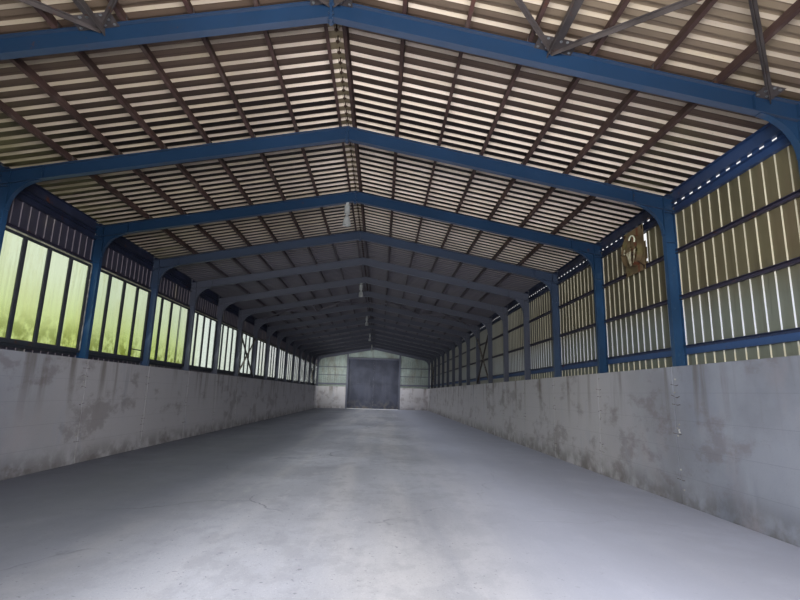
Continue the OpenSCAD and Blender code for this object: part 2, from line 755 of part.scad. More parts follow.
// Old ventilator on the right wall: plate on the rails, ring, four slanted blades, and a motor on a bar,
// with a folded flashing round the opening outside
module wall_ventilator() color("sienna") above_floor() {
    ring_t = section_t * 2.5;
    bore = vent_ring_r - ring_t;
    tip = bore - 2 * ring_t;
    translate([column_out - rail_w - seat, frame_y(vent_bay) + vent_along, vent_h]) rotate([0, -90, 0]) {
        linear_extrude(height = vent_plate_t) difference() {
            square([vent_plate_h, vent_plate_w], center = true);
            circle(r = bore, $fn = fine);
        }
        linear_extrude(height = vent_ring_d) difference() {
            circle(r = vent_ring_r, $fn = fine);
            circle(r = bore, $fn = fine);
        }
        translate([0, 0, vent_ring_d + vent_plate_t - vent_motor_len])
            cylinder(r = vent_motor_r, h = vent_motor_len, $fn = fine);
        translate([-vent_bar_h / 2, -vent_ring_r, vent_ring_d])
            cube([vent_bar_h, 2 * vent_ring_r, vent_plate_t]);
        for (k = [0 : 3]) rotate([0, 0, 45 + 90 * k]) translate([0, 0, vent_ring_d / 2])
            rotate([vent_blade_slant, 0, 0]) translate([0, 0, -section_t / 2])
                linear_extrude(height = section_t) polygon([[0, -vent_motor_r / 2],
                    [tip, -vent_blade_w / 2], [tip, vent_blade_w / 2], [0, vent_motor_r / 2]]);
    }
    difference() {
        vent_block(sheet_out + seat, sheet_t, vent_flashing);
        vent_block(column_out, rail_w);
    }
}

floor_slab();
dado_left();
dado_right();
dado_front();
dado_rear();
columns_left();
columns_right();
knees_left();
knees_right();
rafters_left();
rafters_right();
ridge_plates();
purlins_left();
purlins_right();
ridge_purlins();
eave_beams_left();
eave_beams_right();
roof_sheet_left();
roof_sheet_right();
ridge_cap();
wall_sheet_left();
wall_sheet_right();
wall_rails_left();
wall_rails_right();
window_frames();
window_glass();
roof_braces();
wall_braces_left();
wall_braces_right();
gable_sheet_front();
gable_sheet_rear();
gable_steel_front();
gable_steel_rear();
corner_trims();
verge_trims();
door_track_front();
door_track_rear();
front_leaf_left();
front_leaf_right();
rear_leaf_left();
rear_leaf_right();
lamps();
wall_ventilator();
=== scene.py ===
"""Looks of a long portal frame hall at half size: finishes, fasteners, closures, fittings and the studio."""

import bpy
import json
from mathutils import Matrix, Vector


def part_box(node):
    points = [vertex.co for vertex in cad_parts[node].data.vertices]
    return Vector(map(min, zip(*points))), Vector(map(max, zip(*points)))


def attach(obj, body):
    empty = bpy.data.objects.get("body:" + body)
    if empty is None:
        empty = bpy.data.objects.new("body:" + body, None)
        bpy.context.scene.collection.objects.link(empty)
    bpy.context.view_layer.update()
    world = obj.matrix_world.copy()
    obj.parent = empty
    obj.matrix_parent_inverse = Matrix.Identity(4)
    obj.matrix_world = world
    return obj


bl_info = {
    "name": "Portal Frame Hall",
    "version": (1, 0, 0),
    "blender": (4, 5, 0),
    "location": "3D View > Sidebar > Hall",
    "description": "Finishes, fasteners and small fittings of a long workshop hall at half size",
    "category": "Object",
}

import json
import math
import random

import bmesh
import bpy
import numpy as np
from mathutils import Matrix, Vector

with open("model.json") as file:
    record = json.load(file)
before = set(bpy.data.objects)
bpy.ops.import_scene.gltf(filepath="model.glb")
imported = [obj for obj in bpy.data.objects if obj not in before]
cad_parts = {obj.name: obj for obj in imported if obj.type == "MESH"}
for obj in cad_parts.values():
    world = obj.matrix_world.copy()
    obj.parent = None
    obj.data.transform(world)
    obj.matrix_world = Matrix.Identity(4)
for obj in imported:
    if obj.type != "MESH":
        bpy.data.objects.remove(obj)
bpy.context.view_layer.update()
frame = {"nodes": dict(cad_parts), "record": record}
SOLIDS = frame["nodes"]

# Levels and inner or outer faces of the solids, in metres
FLOOR_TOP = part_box("floor_slab")[1].z
COLUMN_IN, COLUMN_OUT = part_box("columns_right")[0].x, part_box("columns_right")[1].x
GABLE_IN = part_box("floor_slab")[1].y
SHEET_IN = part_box("wall_sheet_right")[0].x
RAIL_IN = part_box("wall_rails_right")[0].x
DADO_IN, DADO_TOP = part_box("dado_right")[0].x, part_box("dado_right")[1].z
WINDOW_LOW, WINDOW_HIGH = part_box("window_frames")
ROOT = "root"
HERE = [Matrix.Identity(4)]


def shade(red, green, blue):
    """A paint colour, given as on a screen from 0 to 255, as linear light"""
    def linear(value):
        v = value / 255
        return v / 12.92 if v <= 0.04045 else ((v + 0.055) / 1.055) ** 2.4
    return (linear(red), linear(green), linear(blue))


def length_of(name, description, default):
    """A length in metres for a group of sizes"""
    return bpy.props.FloatProperty(name=name, description=description, default=default, min=0.0,
                                   unit="LENGTH", precision=4)


def colour_of(name, description, default):
    """A colour for a group of colours"""
    return bpy.props.FloatVectorProperty(name=name, description=description, default=default, size=3,
                                         subtype="COLOR", min=0.0, max=1.0)


# Sizes and colours that a user may change

class HallSizes(bpy.types.PropertyGroup):
    """Sizes that the fittings follow"""
    bays: bpy.props.IntProperty(name="Bays", description="Bays along the hall", default=18, min=1)
    bay: length_of("Bay", "Distance between neighbouring frames", 1.5)
    ribs_per_bay: bpy.props.IntProperty(name="Ribs in a bay", description="Ribs of the sheets in one bay",
                                        default=13, min=1)
    roof_pitch: bpy.props.FloatProperty(name="Roof pitch", description="Slope of the roof",
                                        default=math.radians(10.8), subtype="ANGLE")
    apex: length_of("Apex", "Underside of the rafters at the ridge", FLOOR_TOP + 3.1701)
    rafter_depth: length_of("Rafter depth", "Depth of a rafter, measured upright", 0.130)
    flange: length_of("Flange thickness", "Thickness of the flanges", 0.008)
    flange_width: length_of("Flange width", "Width of the flanges of columns and rafters", 0.056)
    web: length_of("Web thickness", "Thickness of the webs", 0.006)
    purlin_first: length_of("First purlin", "First purlin, measured from the ridge", 0.450)
    purlin_step: length_of("Purlin spacing", "Distance between purlins", 0.401)
    purlins: bpy.props.IntProperty(name="Purlins", description="Purlins on one slope", default=6, min=1)
    purlin_depth: length_of("Purlin depth", "Depth of a purlin", 0.060)
    rib_height: length_of("Roof rib height", "Height of a roof rib", 0.022)
    rib_foot: length_of("Roof rib foot", "Width of a roof rib at its foot", 0.062)
    rib_crown: length_of("Roof rib crown", "Width of a roof rib at its crown", 0.036)
    ridge_gap: length_of("Ridge gap", "Half the gap between the roof sheets at the ridge", 0.016)
    sheet: length_of("Sheet thickness", "Thickness of the sheets", 0.002)
    knee_radius: length_of("Knee radius", "Radius of the curved knees", 0.300)
    brace_mid: length_of("Brace split", "Middle of the roof bracing, from the ridge", 1.415)
    main_rail: length_of("Main rail", "Middle of the main rail above the floor", 1.290)
    mid_rail: length_of("Middle rail", "Middle of the middle rail above the floor", 1.760)
    top_rail: length_of("Upper rail", "Middle of the upper rail above the floor", 2.190)
    head_rail: length_of("Head rail", "Middle of the rail over the windows above the floor", 2.271)
    eave_band: length_of("Eave band", "Middle of the lower eave band above the floor", 2.588)
    slot_low: length_of("Slot low", "Lower edge of the slot under the eave beam, above the floor", 2.625)
    slot_high: length_of("Slot high", "Upper edge of the slot under the eave beam, above the floor", 2.660)
    leaf_low: length_of("Leaf low", "Lower edge of a door leaf above the floor", 0.012)
    leaf_high: length_of("Leaf high", "Upper edge of a door leaf above the floor", 2.665)
    pull: length_of("Pull", "Middle of a leaf's pull above the floor", 1.120)
    low_bar: length_of("Low bar", "Bar across one window pane, above the floor", 1.360)
    lamp_aside: length_of("Lamp place", "Distance of the lamps from the ridge line, on the left", 0.090)
    vent_along: length_of("Ventilator place", "Middle of the ventilator beyond the fourth frame", 0.660)
    vent_middle: length_of("Ventilator height", "Middle of the ventilator above the floor", 2.395)
    bolt_head: length_of("Bolt head", "Radius of a frame bolt head", 0.0085)
    screw_head: length_of("Screw head", "Radius of a sheet screw head", 0.004)


class HallColours(bpy.types.PropertyGroup):
    """Colours of the finishes"""
    floor: colour_of("Floor", "Trowelled floor", shade(168, 170, 180))
    floor_dust: colour_of("Floor dust", "Dust on the floor", shade(190, 188, 190))
    dado: colour_of("Dado", "Concrete of the dado", shade(150, 154, 166))
    steel: colour_of("Blue steel", "Paint of columns and rafters", shade(47, 79, 114))
    purlin: colour_of("Purlin", "Primer of the purlins", shade(82, 62, 58))
    # Cream of the roof rib flanks, partly the coating and partly painted light
    roof: colour_of("Roof sheet", "Clean coating of the roof sheets", shade(239, 222, 208))
    # Brown of the roof flats, partly stain and partly painted shade
    roof_flat_stain_and_shade: colour_of("Roof stain", "Dirty flats of the roof sheets", shade(60, 48, 41))
    wall: colour_of("Wall sheet", "Coating of the wall sheets", shade(106, 99, 76))
    # Pale wall rib flanks, partly paint and partly painted light
    rib_flank_paint_and_light: colour_of("Rib flank", "Clean flanks of the wall ribs", shade(234, 226, 200))
    rail: colour_of("Rail", "Dark paint of rails and frames", shade(50, 56, 80))
    glass: colour_of("Glass", "Clean glass", shade(244, 255, 246))
    algae: colour_of("Algae", "Algae on the glass", shade(206, 226, 112))
    gable: colour_of("Gable sheet", "Coating of the gable sheets", shade(168, 182, 177))
    brace: colour_of("Bracing", "Primer of the bracing", shade(87, 80, 79))
    door: colour_of("Door", "Paint of the door leaves", shade(78, 82, 98))
    lamp: colour_of("Lamp", "Spun metal of the lamps", shade(214, 216, 216))
    vent: colour_of("Ventilator", "Rusty sheet of the ventilator", shade(132, 112, 84))
    zinc: colour_of("Zinc", "Bolts and screws", shade(166, 168, 170))
    rust: colour_of("Rust", "Rust", shade(104, 60, 36))
    dust: colour_of("Dust", "Dust on upper faces", shade(158, 150, 138))


def sizes():
    return bpy.context.scene.hall_sizes


def colours():
    return bpy.context.scene.hall_colours


# Places in the hall

def frame_y(j):
    """Place of a frame along the hall"""
    return (j - sizes().bays / 2) * sizes().bay


def under(x):
    """Underside of the rafters at a distance from the ridge"""
    return sizes().apex - abs(x) * math.tan(sizes().roof_pitch)


def rib_pitch():
    """Distance between neighbouring ribs of a sheet"""
    return sizes().bay / sizes().ribs_per_bay


def rib_centres():
    """Middles of all ribs along the hall"""
    pitch = rib_pitch()
    first = math.ceil(-GABLE_IN / pitch)
    return [(i + 0.5) * pitch for i in range(first, -first)]


def purlin_places():
    """Distances of the purlins from the ridge, measured level"""
    return [sizes().purlin_first + i * sizes().purlin_step for i in range(sizes().purlins)]


def brace_bays():
    """Bays with crossed bracing: near both ends and in the middle"""
    bays = sizes().bays
    return (1, bays // 2 - 1, bays - 2)


def clear_of_frames(y, margin):
    """Whether a place along the hall is farther than the margin from the nearest frame"""
    j = round(y / sizes().bay + sizes().bays / 2)
    return abs(y - frame_y(j)) >= margin


def at(x, y, z, turn=None):
    """A place in the hall, with its turn as a 3 x 3 matrix if it has one"""
    move = Matrix.Translation((x, y, z))
    return move @ turn.to_4x4() if turn else move


def facing(direction, up=(0, 0, 1)):
    """A turn that points local Z along a direction"""
    z = Vector(direction).normalized()
    x = Vector(up).cross(z)
    x = x.normalized() if x.length > 1e-6 else Vector((1, 0, 0))
    return Matrix((x, z.cross(x), z)).transposed()


def on_slope(side, along, y, out, above=0.0):
    """A place on one slope: local X down the slope, Z out of the roof, from a line over the apex"""
    cos, sin = math.cos(sizes().roof_pitch), math.sin(sizes().roof_pitch)
    down, normal = Vector((side * cos, 0, -sin)), Vector((side * sin, 0, cos))
    turn = Matrix((down, normal.cross(down), normal)).transposed()
    spot = Vector((0, y, sizes().apex + above)) + down * along + normal * out
    return at(*spot, turn)


# Small forms

class Shape:
    """Corners and faces of a small form before it is placed"""

    def __init__(self, corners, faces):
        self.corners = np.asarray(corners, float).reshape(-1, 3)
        self.faces = [tuple(face) for face in faces]

    def __add__(self, other):
        shift = len(self.corners)
        return Shape(np.vstack([self.corners, other.corners]),
                     self.faces + [tuple(i + shift for i in face) for face in other.faces])

    def moved(self, place):
        m = np.array(place)
        return Shape(self.corners @ m[:3, :3].T + m[:3, 3], self.faces)


def turned(profile, sides):
    """A profile of (radius, height) points turned round local Z, closed at both ends"""
    corners, faces = [], []
    for radius, height in profile:
        for k in range(sides):
            a = 2 * math.pi * k / sides
            corners.append((radius * math.cos(a), radius * math.sin(a), height))
    for row in range(len(profile) - 1):
        for k in range(sides):
            n = (k + 1) % sides
            faces.append((row * sides + k, row * sides + n, (row + 1) * sides + n, (row + 1) * sides + k))
    faces.append(tuple(reversed(range(sides))))
    faces.append(tuple((len(profile) - 1) * sides + k for k in range(sides)))
    return Shape(corners, faces)


def extruded(outline, length):
    """A closed outline in local XZ made long along local Y, centred on it"""
    count = len(outline)
    corners = [(x, y, z) for y in (-length / 2, length / 2) for x, z in outline]
    faces = [(k, (k + 1) % count, count + (k + 1) % count, count + k) for k in range(count)]
    faces.append(tuple(reversed(range(count))))
    faces.append(tuple(range(count, 2 * count)))
    return Shape(corners, faces)


def upright_strip(thick, high, length):
    """A thin strip standing on its place, long along local Y"""
    return extruded([(0, 0), (thick, 0), (thick, high), (0, high)], length)


def chamfered(wide, deep, high, edge):
    """A plate with chamfered edges, centred on its place"""
    mesh = bmesh.new()
    bmesh.ops.create_cube(mesh, size=1.0)
    bmesh.ops.scale(mesh, vec=(wide, deep, high), verts=mesh.verts)
    bmesh.ops.bevel(mesh, geom=mesh.edges[:], offset=edge, segments=1, affect="EDGES")
    mesh.verts.index_update()
    shape = Shape([v.co[:] for v in mesh.verts], [[v.index for v in f.verts] for f in mesh.faces])
    mesh.free()
    return shape


def swept(points, radius, sides=8):
    """A round bar that follows a few points"""
    path = [Vector(p) for p in points]
    corners, faces = [], []
    for i, spot in enumerate(path):
        ahead = path[min(i + 1, len(path) - 1)] - path[max(i - 1, 0)]
        turn = facing(ahead, (0.3, 0.5, 0.8))
        for k in range(sides):
            a = 2 * math.pi * k / sides
            corners.append(spot + turn @ Vector((radius * math.cos(a), radius * math.sin(a), 0)))
    for row in range(len(path) - 1):
        for k in range(sides):
            n = (k + 1) % sides
            faces.append((row * sides + k, row * sides + n, (row + 1) * sides + n, (row + 1) * sides + k))
    faces.append(tuple(reversed(range(sides))))
    faces.append(tuple((len(path) - 1) * sides + k for k in range(sides)))
    return Shape([c[:] for c in corners], faces)


def bolt(radius):
    """Hexagon head with a chamfered top, on a round washer, pointing along local Z"""
    head = turned([(radius, radius * 0.3), (radius, radius * 0.95), (radius * 0.82, radius * 1.15)], 6)
    return turned([(radius * 1.5, 0), (radius * 1.5, radius * 0.3)], 12) + head


def screw(radius):
    """Sheet screw: wide sealing washer and a small hexagon head"""
    washer = turned([(radius * 1.6, 0), (radius * 1.3, radius * 0.5)], 8)
    return washer + turned([(radius, radius * 0.5), (radius * 0.85, radius * 1.5)], 6)


def add_piece(name, parts, finish, body=ROOT, round_edges=False):
    """One piece made of shapes set at their places, in the slot of its finish.

    parts is a list of (shape, places)
    """
    corners, faces, start = [], [], 0
    for shape, places in parts:
        m = np.array([np.array(place) for place in places]).reshape(-1, 4, 4)
        spots = np.einsum("kij,nj->kni", m[:, :3, :3], shape.corners) + m[:, None, :3, 3]
        corners.append(spots.reshape(-1, 3))
        for k in range(len(m)):
            shift = start + k * len(shape.corners)
            faces.extend(tuple(i + shift for i in face) for face in shape.faces)
        start += len(m) * len(shape.corners)
    mesh = bpy.data.meshes.new(name)
    mesh.from_pydata(np.vstack(corners), [], faces)
    mesh.validate()
    if round_edges:
        mesh.shade_smooth()
        mesh.set_sharp_from_angle(angle=math.radians(40))
    piece = bpy.data.objects.new(name, mesh)
    bpy.context.scene.collection.objects.link(piece)
    mesh.materials.append(finish_named(finish))
    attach(piece, body)


# Finishes

class Finish:
    """Node tree of one finish. Every method adds nodes and gives back the socket that holds their result"""

    def __init__(self, name, roughness=0.6, metallic=0.0):
        self.material = bpy.data.materials.new(name)
        self.material.use_nodes = True
        self.tree = self.material.node_tree
        self.tree.nodes.clear()
        self.output = self.tree.nodes.new("ShaderNodeOutputMaterial")
        self.shader = self.tree.nodes.new("ShaderNodeBsdfPrincipled")
        self.shader.inputs["Roughness"].default_value = roughness
        self.shader.inputs["Metallic"].default_value = metallic
        self.link(self.shader.outputs[0], self.output.inputs["Surface"])
        self.place = self.tree.nodes.new("ShaderNodeTexCoord").outputs["Object"]
        split = self.add("ShaderNodeSeparateXYZ")
        self.link(self.place, split.inputs[0])
        self.x, self.y, self.z = split.outputs
        normal = self.add("ShaderNodeSeparateXYZ")
        self.link(self.tree.nodes.new("ShaderNodeNewGeometry").outputs["True Normal"], normal.inputs[0])
        self.across, self.along, self.up = normal.outputs

    def add(self, kind):
        return self.tree.nodes.new(kind)

    def link(self, source, target):
        if isinstance(source, bpy.types.NodeSocket):
            self.tree.links.new(source, target)
        elif target.type == "RGBA":
            target.default_value = (*source, 1.0)
        else:
            target.default_value = source

    def calc(self, operation, a, b=0.0):
        """The result of an operation on two values, each a socket or a number"""
        node = self.add("ShaderNodeMath")
        node.operation = operation
        self.link(a, node.inputs[0])
        self.link(b, node.inputs[1])
        return node.outputs[0]

    def times(self, a, b):
        return self.calc("MULTIPLY", a, b)

    def away(self, value):
        """Distance from the middle, whichever the side"""
        return self.calc("ABSOLUTE", value)

    def over(self, tone, colour, mask, share):
        """A colour laid over a tone where the mask is 1, as thick as the share says"""
        return self.mix(self.times(mask, share), tone, colour)

    def band(self, value, low, high):
        """0 below low, 1 above high, smooth between; low may be the larger"""
        node = self.add("ShaderNodeMapRange")
        node.interpolation_type = "SMOOTHSTEP"
        self.link(value, node.inputs["Value"])
        node.inputs["From Min"].default_value, node.inputs["From Max"].default_value = low, high
        return node.outputs["Result"]

    def noise(self, scale, detail=4.0, stretch=(1, 1, 1), rough=0.55):
        """Cloudy values from 0 to 1; a small number in stretch draws them out along that axis"""
        mapping = self.add("ShaderNodeMapping")
        mapping.inputs["Scale"].default_value = stretch
        self.link(self.place, mapping.inputs["Vector"])
        node = self.add("ShaderNodeTexNoise")
        self.link(mapping.outputs[0], node.inputs["Vector"])
        node.inputs["Scale"].default_value = scale
        node.inputs["Detail"].default_value = detail
        node.inputs["Roughness"].default_value = rough
        return node.outputs["Fac"]

    def mix(self, share, a, b):
        """Colour a where the share is 0, colour b where it is 1"""
        factor, first_colour, second_colour, mixed_colour = 0, 6, 7, 2
        node = self.add("ShaderNodeMix")
        node.data_type = "RGBA"
        self.link(share, node.inputs[factor])
        self.link(a, node.inputs[first_colour])
        self.link(b, node.inputs[second_colour])
        return node.outputs[mixed_colour]

    def cycle(self, value, length):
        """Runs from 0 to 1 over each length"""
        return self.calc("FRACT", self.calc("DIVIDE", value, length))

    def off_centre(self, value, length):
        """Distance from the middle of each length, as a share of it: 0 in the middle, 0.5 at its ends"""
        return self.away(self.calc("SUBTRACT", self.cycle(value, length), 0.5))

    def paint(self, colour):
        self.link(colour, self.shader.inputs["Base Color"])
        return self

    def rough(self, value, low, high):
        """Roughness from low to high as a value runs from 0 to 1"""
        node = self.add("ShaderNodeMapRange")
        self.link(value, node.inputs["Value"])
        node.inputs["To Min"].default_value, node.inputs["To Max"].default_value = low, high
        self.link(node.outputs["Result"], self.shader.inputs["Roughness"])

    def relief(self, height, strength, depth):
        """Fine unevenness of the surface, up to a depth in metres"""
        node = self.add("ShaderNodeBump")
        node.inputs["Strength"].default_value = strength
        node.inputs["Distance"].default_value = depth
        self.link(height, node.inputs["Height"])
        self.link(node.outputs[0], self.shader.inputs["Normal"])

    def dusty(self, colour, amount):
        """Dust that lies on upper faces, in patches"""
        patch = self.times(self.band(self.noise(14, 5), 0.3, 0.62), amount)
        return self.over(colour, colours().dust[:], self.band(self.up, 0.35, 0.9), patch)

    def rusty(self, colour, start, end, scale=9.0):
        """Rust spots where a noise passes from start to end"""
        spots = self.band(self.noise(scale, 8, rough=0.68), start, end)
        tone = self.mix(self.noise(40, 3), colours().rust[:], tinted(colours().rust, 0.45))
        return self.mix(spots, colour, tone)


def tinted(colour, factor):
    """A darker or lighter tone of a colour"""
    return tuple(min(1.0, c * factor) for c in colour)


def blended(a, b, share):
    """A colour on the way from a to b"""
    return tuple(p + (q - p) * share for p, q in zip(a, b))


def floor_finish():
    """Trowelled concrete under dust: pale middle, browner sides that are dirt and painted shade, wheel
    tracks and fine cracks, a darker left half that is painted shade and a paler right strip that is painted
    light
    """
    f = Finish("dusty_floor", 0.8)
    base, dust = colours().floor[:], colours().floor_dust[:]
    broad = f.band(f.noise(0.5, 4), 0.36, 0.64)
    tone = f.mix(broad, tinted(base, 0.78), base)
    tracks = f.band(f.noise(2.3, 5, (1.0, 0.1, 1.0)), 0.42, 0.68)
    tone = f.over(tone, dust, tracks, 0.55)
    # Darker patches towards both walls: dirt, partly painted shade
    sides = f.band(f.away(f.x), 0.9, 2.6)
    dirt_and_painted_shade = f.times(sides, f.band(f.noise(3.4, 6), 0.2, 0.6))
    earth = (0.09, 0.08, 0.08)
    tone = f.over(tone, blended(base, earth, 0.6), dirt_and_painted_shade, 0.75)
    grit = f.band(f.noise(95, 3, rough=0.7), 0.56, 0.72)
    tone = f.over(tone, tinted(base, 0.42), grit, 0.45)
    pale = f.band(f.noise(140, 2), 0.6, 0.75)
    tone = f.over(tone, tinted(dust, 1.25), pale, 0.4)
    scuff = f.band(f.noise(7.5, 7, (1.0, 0.35, 1.0), 0.7), 0.55, 0.75)
    tone = f.over(tone, tinted(dust, 1.12), scuff, 0.3)
    cells = f.add("ShaderNodeTexVoronoi")
    cells.feature = "DISTANCE_TO_EDGE"
    cells.inputs["Scale"].default_value = 0.42
    warp = f.add("ShaderNodeVectorMath")
    warp.operation = "MULTIPLY_ADD"
    wobble = f.add("ShaderNodeTexNoise")
    wobble.inputs["Scale"].default_value = 1.8
    wobble.inputs["Detail"].default_value = 8
    f.link(f.place, wobble.inputs["Vector"])
    f.link(wobble.outputs["Color"], warp.inputs[0])
    warp.inputs[1].default_value = (0.7, 0.7, 0.0)
    f.link(f.place, warp.inputs[2])
    f.link(warp.outputs[0], cells.inputs["Vector"])
    crack = f.times(f.band(cells.outputs["Distance"], 0.006, 0.0), f.band(f.noise(0.9, 2), 0.45, 0.6))
    tone = f.over(tone, tinted(base, 0.25), crack, 0.6)
    mottle = f.band(f.noise(5.5, 8, (1, 0.7, 1), 0.68), 0.46, 0.62)
    tone = f.over(tone, tinted(base, 0.6), mottle, 0.32)
    crumbs = f.band(f.noise(34, 2), 0.69, 0.72)
    tone = f.over(tone, tinted(base, 0.35), crumbs, 0.6)
    # Painted shade: the left half of the floor darker and bluer
    painted_shade_left_half = f.band(f.x, -0.3, -1.5)
    tone = f.over(tone, shade(88, 91, 104), painted_shade_left_half, 0.8)
    # Painted light: a paler bluish strip on the right of the floor
    painted_light_right_edge = f.band(f.x, 0.6, 1.7)
    tone = f.over(tone, shade(200, 204, 224), painted_light_right_edge, 0.6)
    f.paint(tone).rough(broad, 0.62, 0.86)
    f.relief(f.calc("SUBTRACT", f.noise(30, 6), f.times(crack, 3.0)), 0.25, 0.004)
    return f.material


def dado_finish():
    """Precast concrete with board lines, drip stains from the top and damp blotches, and painted light that
    makes it paler past the second bay
    """
    f = Finish("stained_dado", 0.85)
    base = colours().dado[:]
    blotch = f.band(f.noise(1.3, 5), 0.35, 0.66)
    tone = f.mix(blotch, tinted(base, 0.72), base)
    bluish = f.band(f.noise(2.1, 4, (1, 1, 0.7)), 0.5, 0.7)
    tone = f.over(tone, shade(126, 134, 152), bluish, 0.4)
    mauve = f.band(f.noise(1.7, 5, (1, 1, 0.6)), 0.52, 0.7)
    tone = f.over(tone, shade(164, 150, 152), mauve, 0.35)
    # Painted light: the concrete paler from the second bay onward
    painted_light_past_second_bay = f.band(f.y, -9.6, -7.0)
    tone = f.over(tone, shade(204, 200, 202), painted_light_past_second_bay, 0.8)
    patch = f.band(f.noise(2.6, 7, (1, 0.6, 1), 0.68), 0.52, 0.63)
    tone = f.over(tone, shade(112, 100, 98), patch, 0.4)
    drips = f.band(f.noise(5.5, 6, (1, 1, 0.09)), 0.5, 0.7)
    from_top = f.band(f.z, DADO_TOP - 0.75, DADO_TOP)
    tone = f.over(tone, shade(98, 86, 72), f.times(drips, from_top), 0.6)
    pale = f.band(f.noise(4.0, 5, (1, 1, 0.3)), 0.58, 0.74)
    tone = f.over(tone, tinted(base, 1.3), pale, 0.4)
    splash = f.times(f.band(f.z, FLOOR_TOP + 0.28, FLOOR_TOP), f.band(f.noise(6, 4), 0.3, 0.6))
    tone = f.over(tone, shade(86, 80, 72), splash, 0.55)
    board_high = 0.229
    board = f.band(f.off_centre(f.calc("SUBTRACT", f.z, FLOOR_TOP), board_high), 0.488, 0.498)
    tone = f.over(tone, tinted(base, 0.45), board, 0.3)
    pores = f.band(f.noise(120, 3, rough=0.7), 0.6, 0.75)
    tone = f.over(tone, tinted(base, 0.4), pores, 0.45)
    f.paint(f.dusty(tone, 0.7))
    f.relief(f.calc("SUBTRACT", f.noise(45, 7), f.calc("ADD", board, pores)), 0.35, 0.003)
    return f.material


def steel_finish():
    """Blue paint on rolled steel: uneven gloss, dust on top, rust spots and a paler worn tone; painted light
    on the undersides, painted shade high up and on the left, painted haze in the far bays
    """
    f = Finish("blue_frame_paint", 0.45)
    base = colours().steel[:]
    tone = f.mix(f.band(f.noise(1.7, 4), 0.36, 0.66), tinted(base, 0.72), base)
    worn = f.band(f.noise(11, 7, rough=0.7), 0.56, 0.76)
    tone = f.over(tone, shade(110, 132, 156), worn, 0.35)
    streak = f.band(f.noise(9, 5, (1, 1, 0.12)), 0.56, 0.74)
    tone = f.over(tone, shade(52, 56, 66), streak, 0.35)
    # Painted light: paler slate patches on faces that point down, for the lit undersides of the flanges
    below = f.times(f.band(f.up, -0.93, -0.975), f.band(f.noise(2.6, 6, (1, 0.5, 1)), 0.2, 0.55))
    tone = f.over(tone, shade(79, 86, 104), below, 0.65)
    # Painted shade: faces high up that do not point down, the webs of rafters and column heads, darkened
    high = f.times(f.band(f.z, FLOOR_TOP + 2.2, FLOOR_TOP + 2.75), f.band(f.up, -0.93, -0.8))
    shadowed = f.mix(f.noise(2.2, 4), shade(25, 44, 67), shade(37, 60, 90))
    tone = f.over(tone, shadowed, high, 0.8)
    # Painted shade: the left rafters and column heads darker
    left = f.times(f.band(f.x, -0.3, -1.6), f.band(f.z, FLOOR_TOP + 2.2, FLOOR_TOP + 2.6))
    tone = f.over(tone, tinted(base, 0.35), left, 0.5)
    posts = f.times(f.band(f.x, -2.0, -2.5), f.band(f.z, FLOOR_TOP + 2.4, FLOOR_TOP + 2.2))
    tone = f.over(tone, shade(44, 88, 134), posts, 0.5)
    # Painted haze: frames in the far bays greyed towards the dim tone of the roof
    painted_haze_deep_bays = f.band(f.y, -7.5, -3.5)
    tone = f.over(tone, shade(108, 109, 120), painted_haze_deep_bays, 0.85)
    tone = f.rusty(tone, 0.655, 0.72)
    f.paint(f.dusty(tone, 0.8)).rough(worn, 0.38, 0.7)
    f.relief(f.noise(70, 4), 0.12, 0.001)
    return f.material


def purlin_finish():
    """Dull red brown primer, dusty and dark, with painted haze in the far bays"""
    f = Finish("purlin_primer", 0.75)
    base = colours().purlin[:]
    tone = f.mix(f.band(f.noise(3, 5), 0.35, 0.65), tinted(base, 0.6), base)
    dusty = f.band(f.noise(16, 5, (1, 0.3, 1)), 0.55, 0.75)
    tone = f.over(tone, shade(116, 106, 98), dusty, 0.5)
    reddish = f.times(f.band(f.y, -10.5, -10.9), f.band(f.away(f.x), 1.2, 0.8))
    tone = f.over(tone, shade(132, 86, 76), reddish, 0.6)
    # Painted haze: purlins in the far bays greyed
    painted_haze_deep_bays = f.band(f.y, -6.8, -4.6)
    tone = f.over(tone, shade(92, 88, 96), painted_haze_deep_bays, 0.7)
    f.paint(f.rusty(tone, 0.62, 0.72, 6))
    f.relief(f.noise(60, 4), 0.15, 0.001)
    return f.material


def flanks(f, direction):
    """1 on the sloping sides of the ribs, which face along a direction, 0 on the flats"""
    return f.band(f.away(direction), 0.55, 0.75)


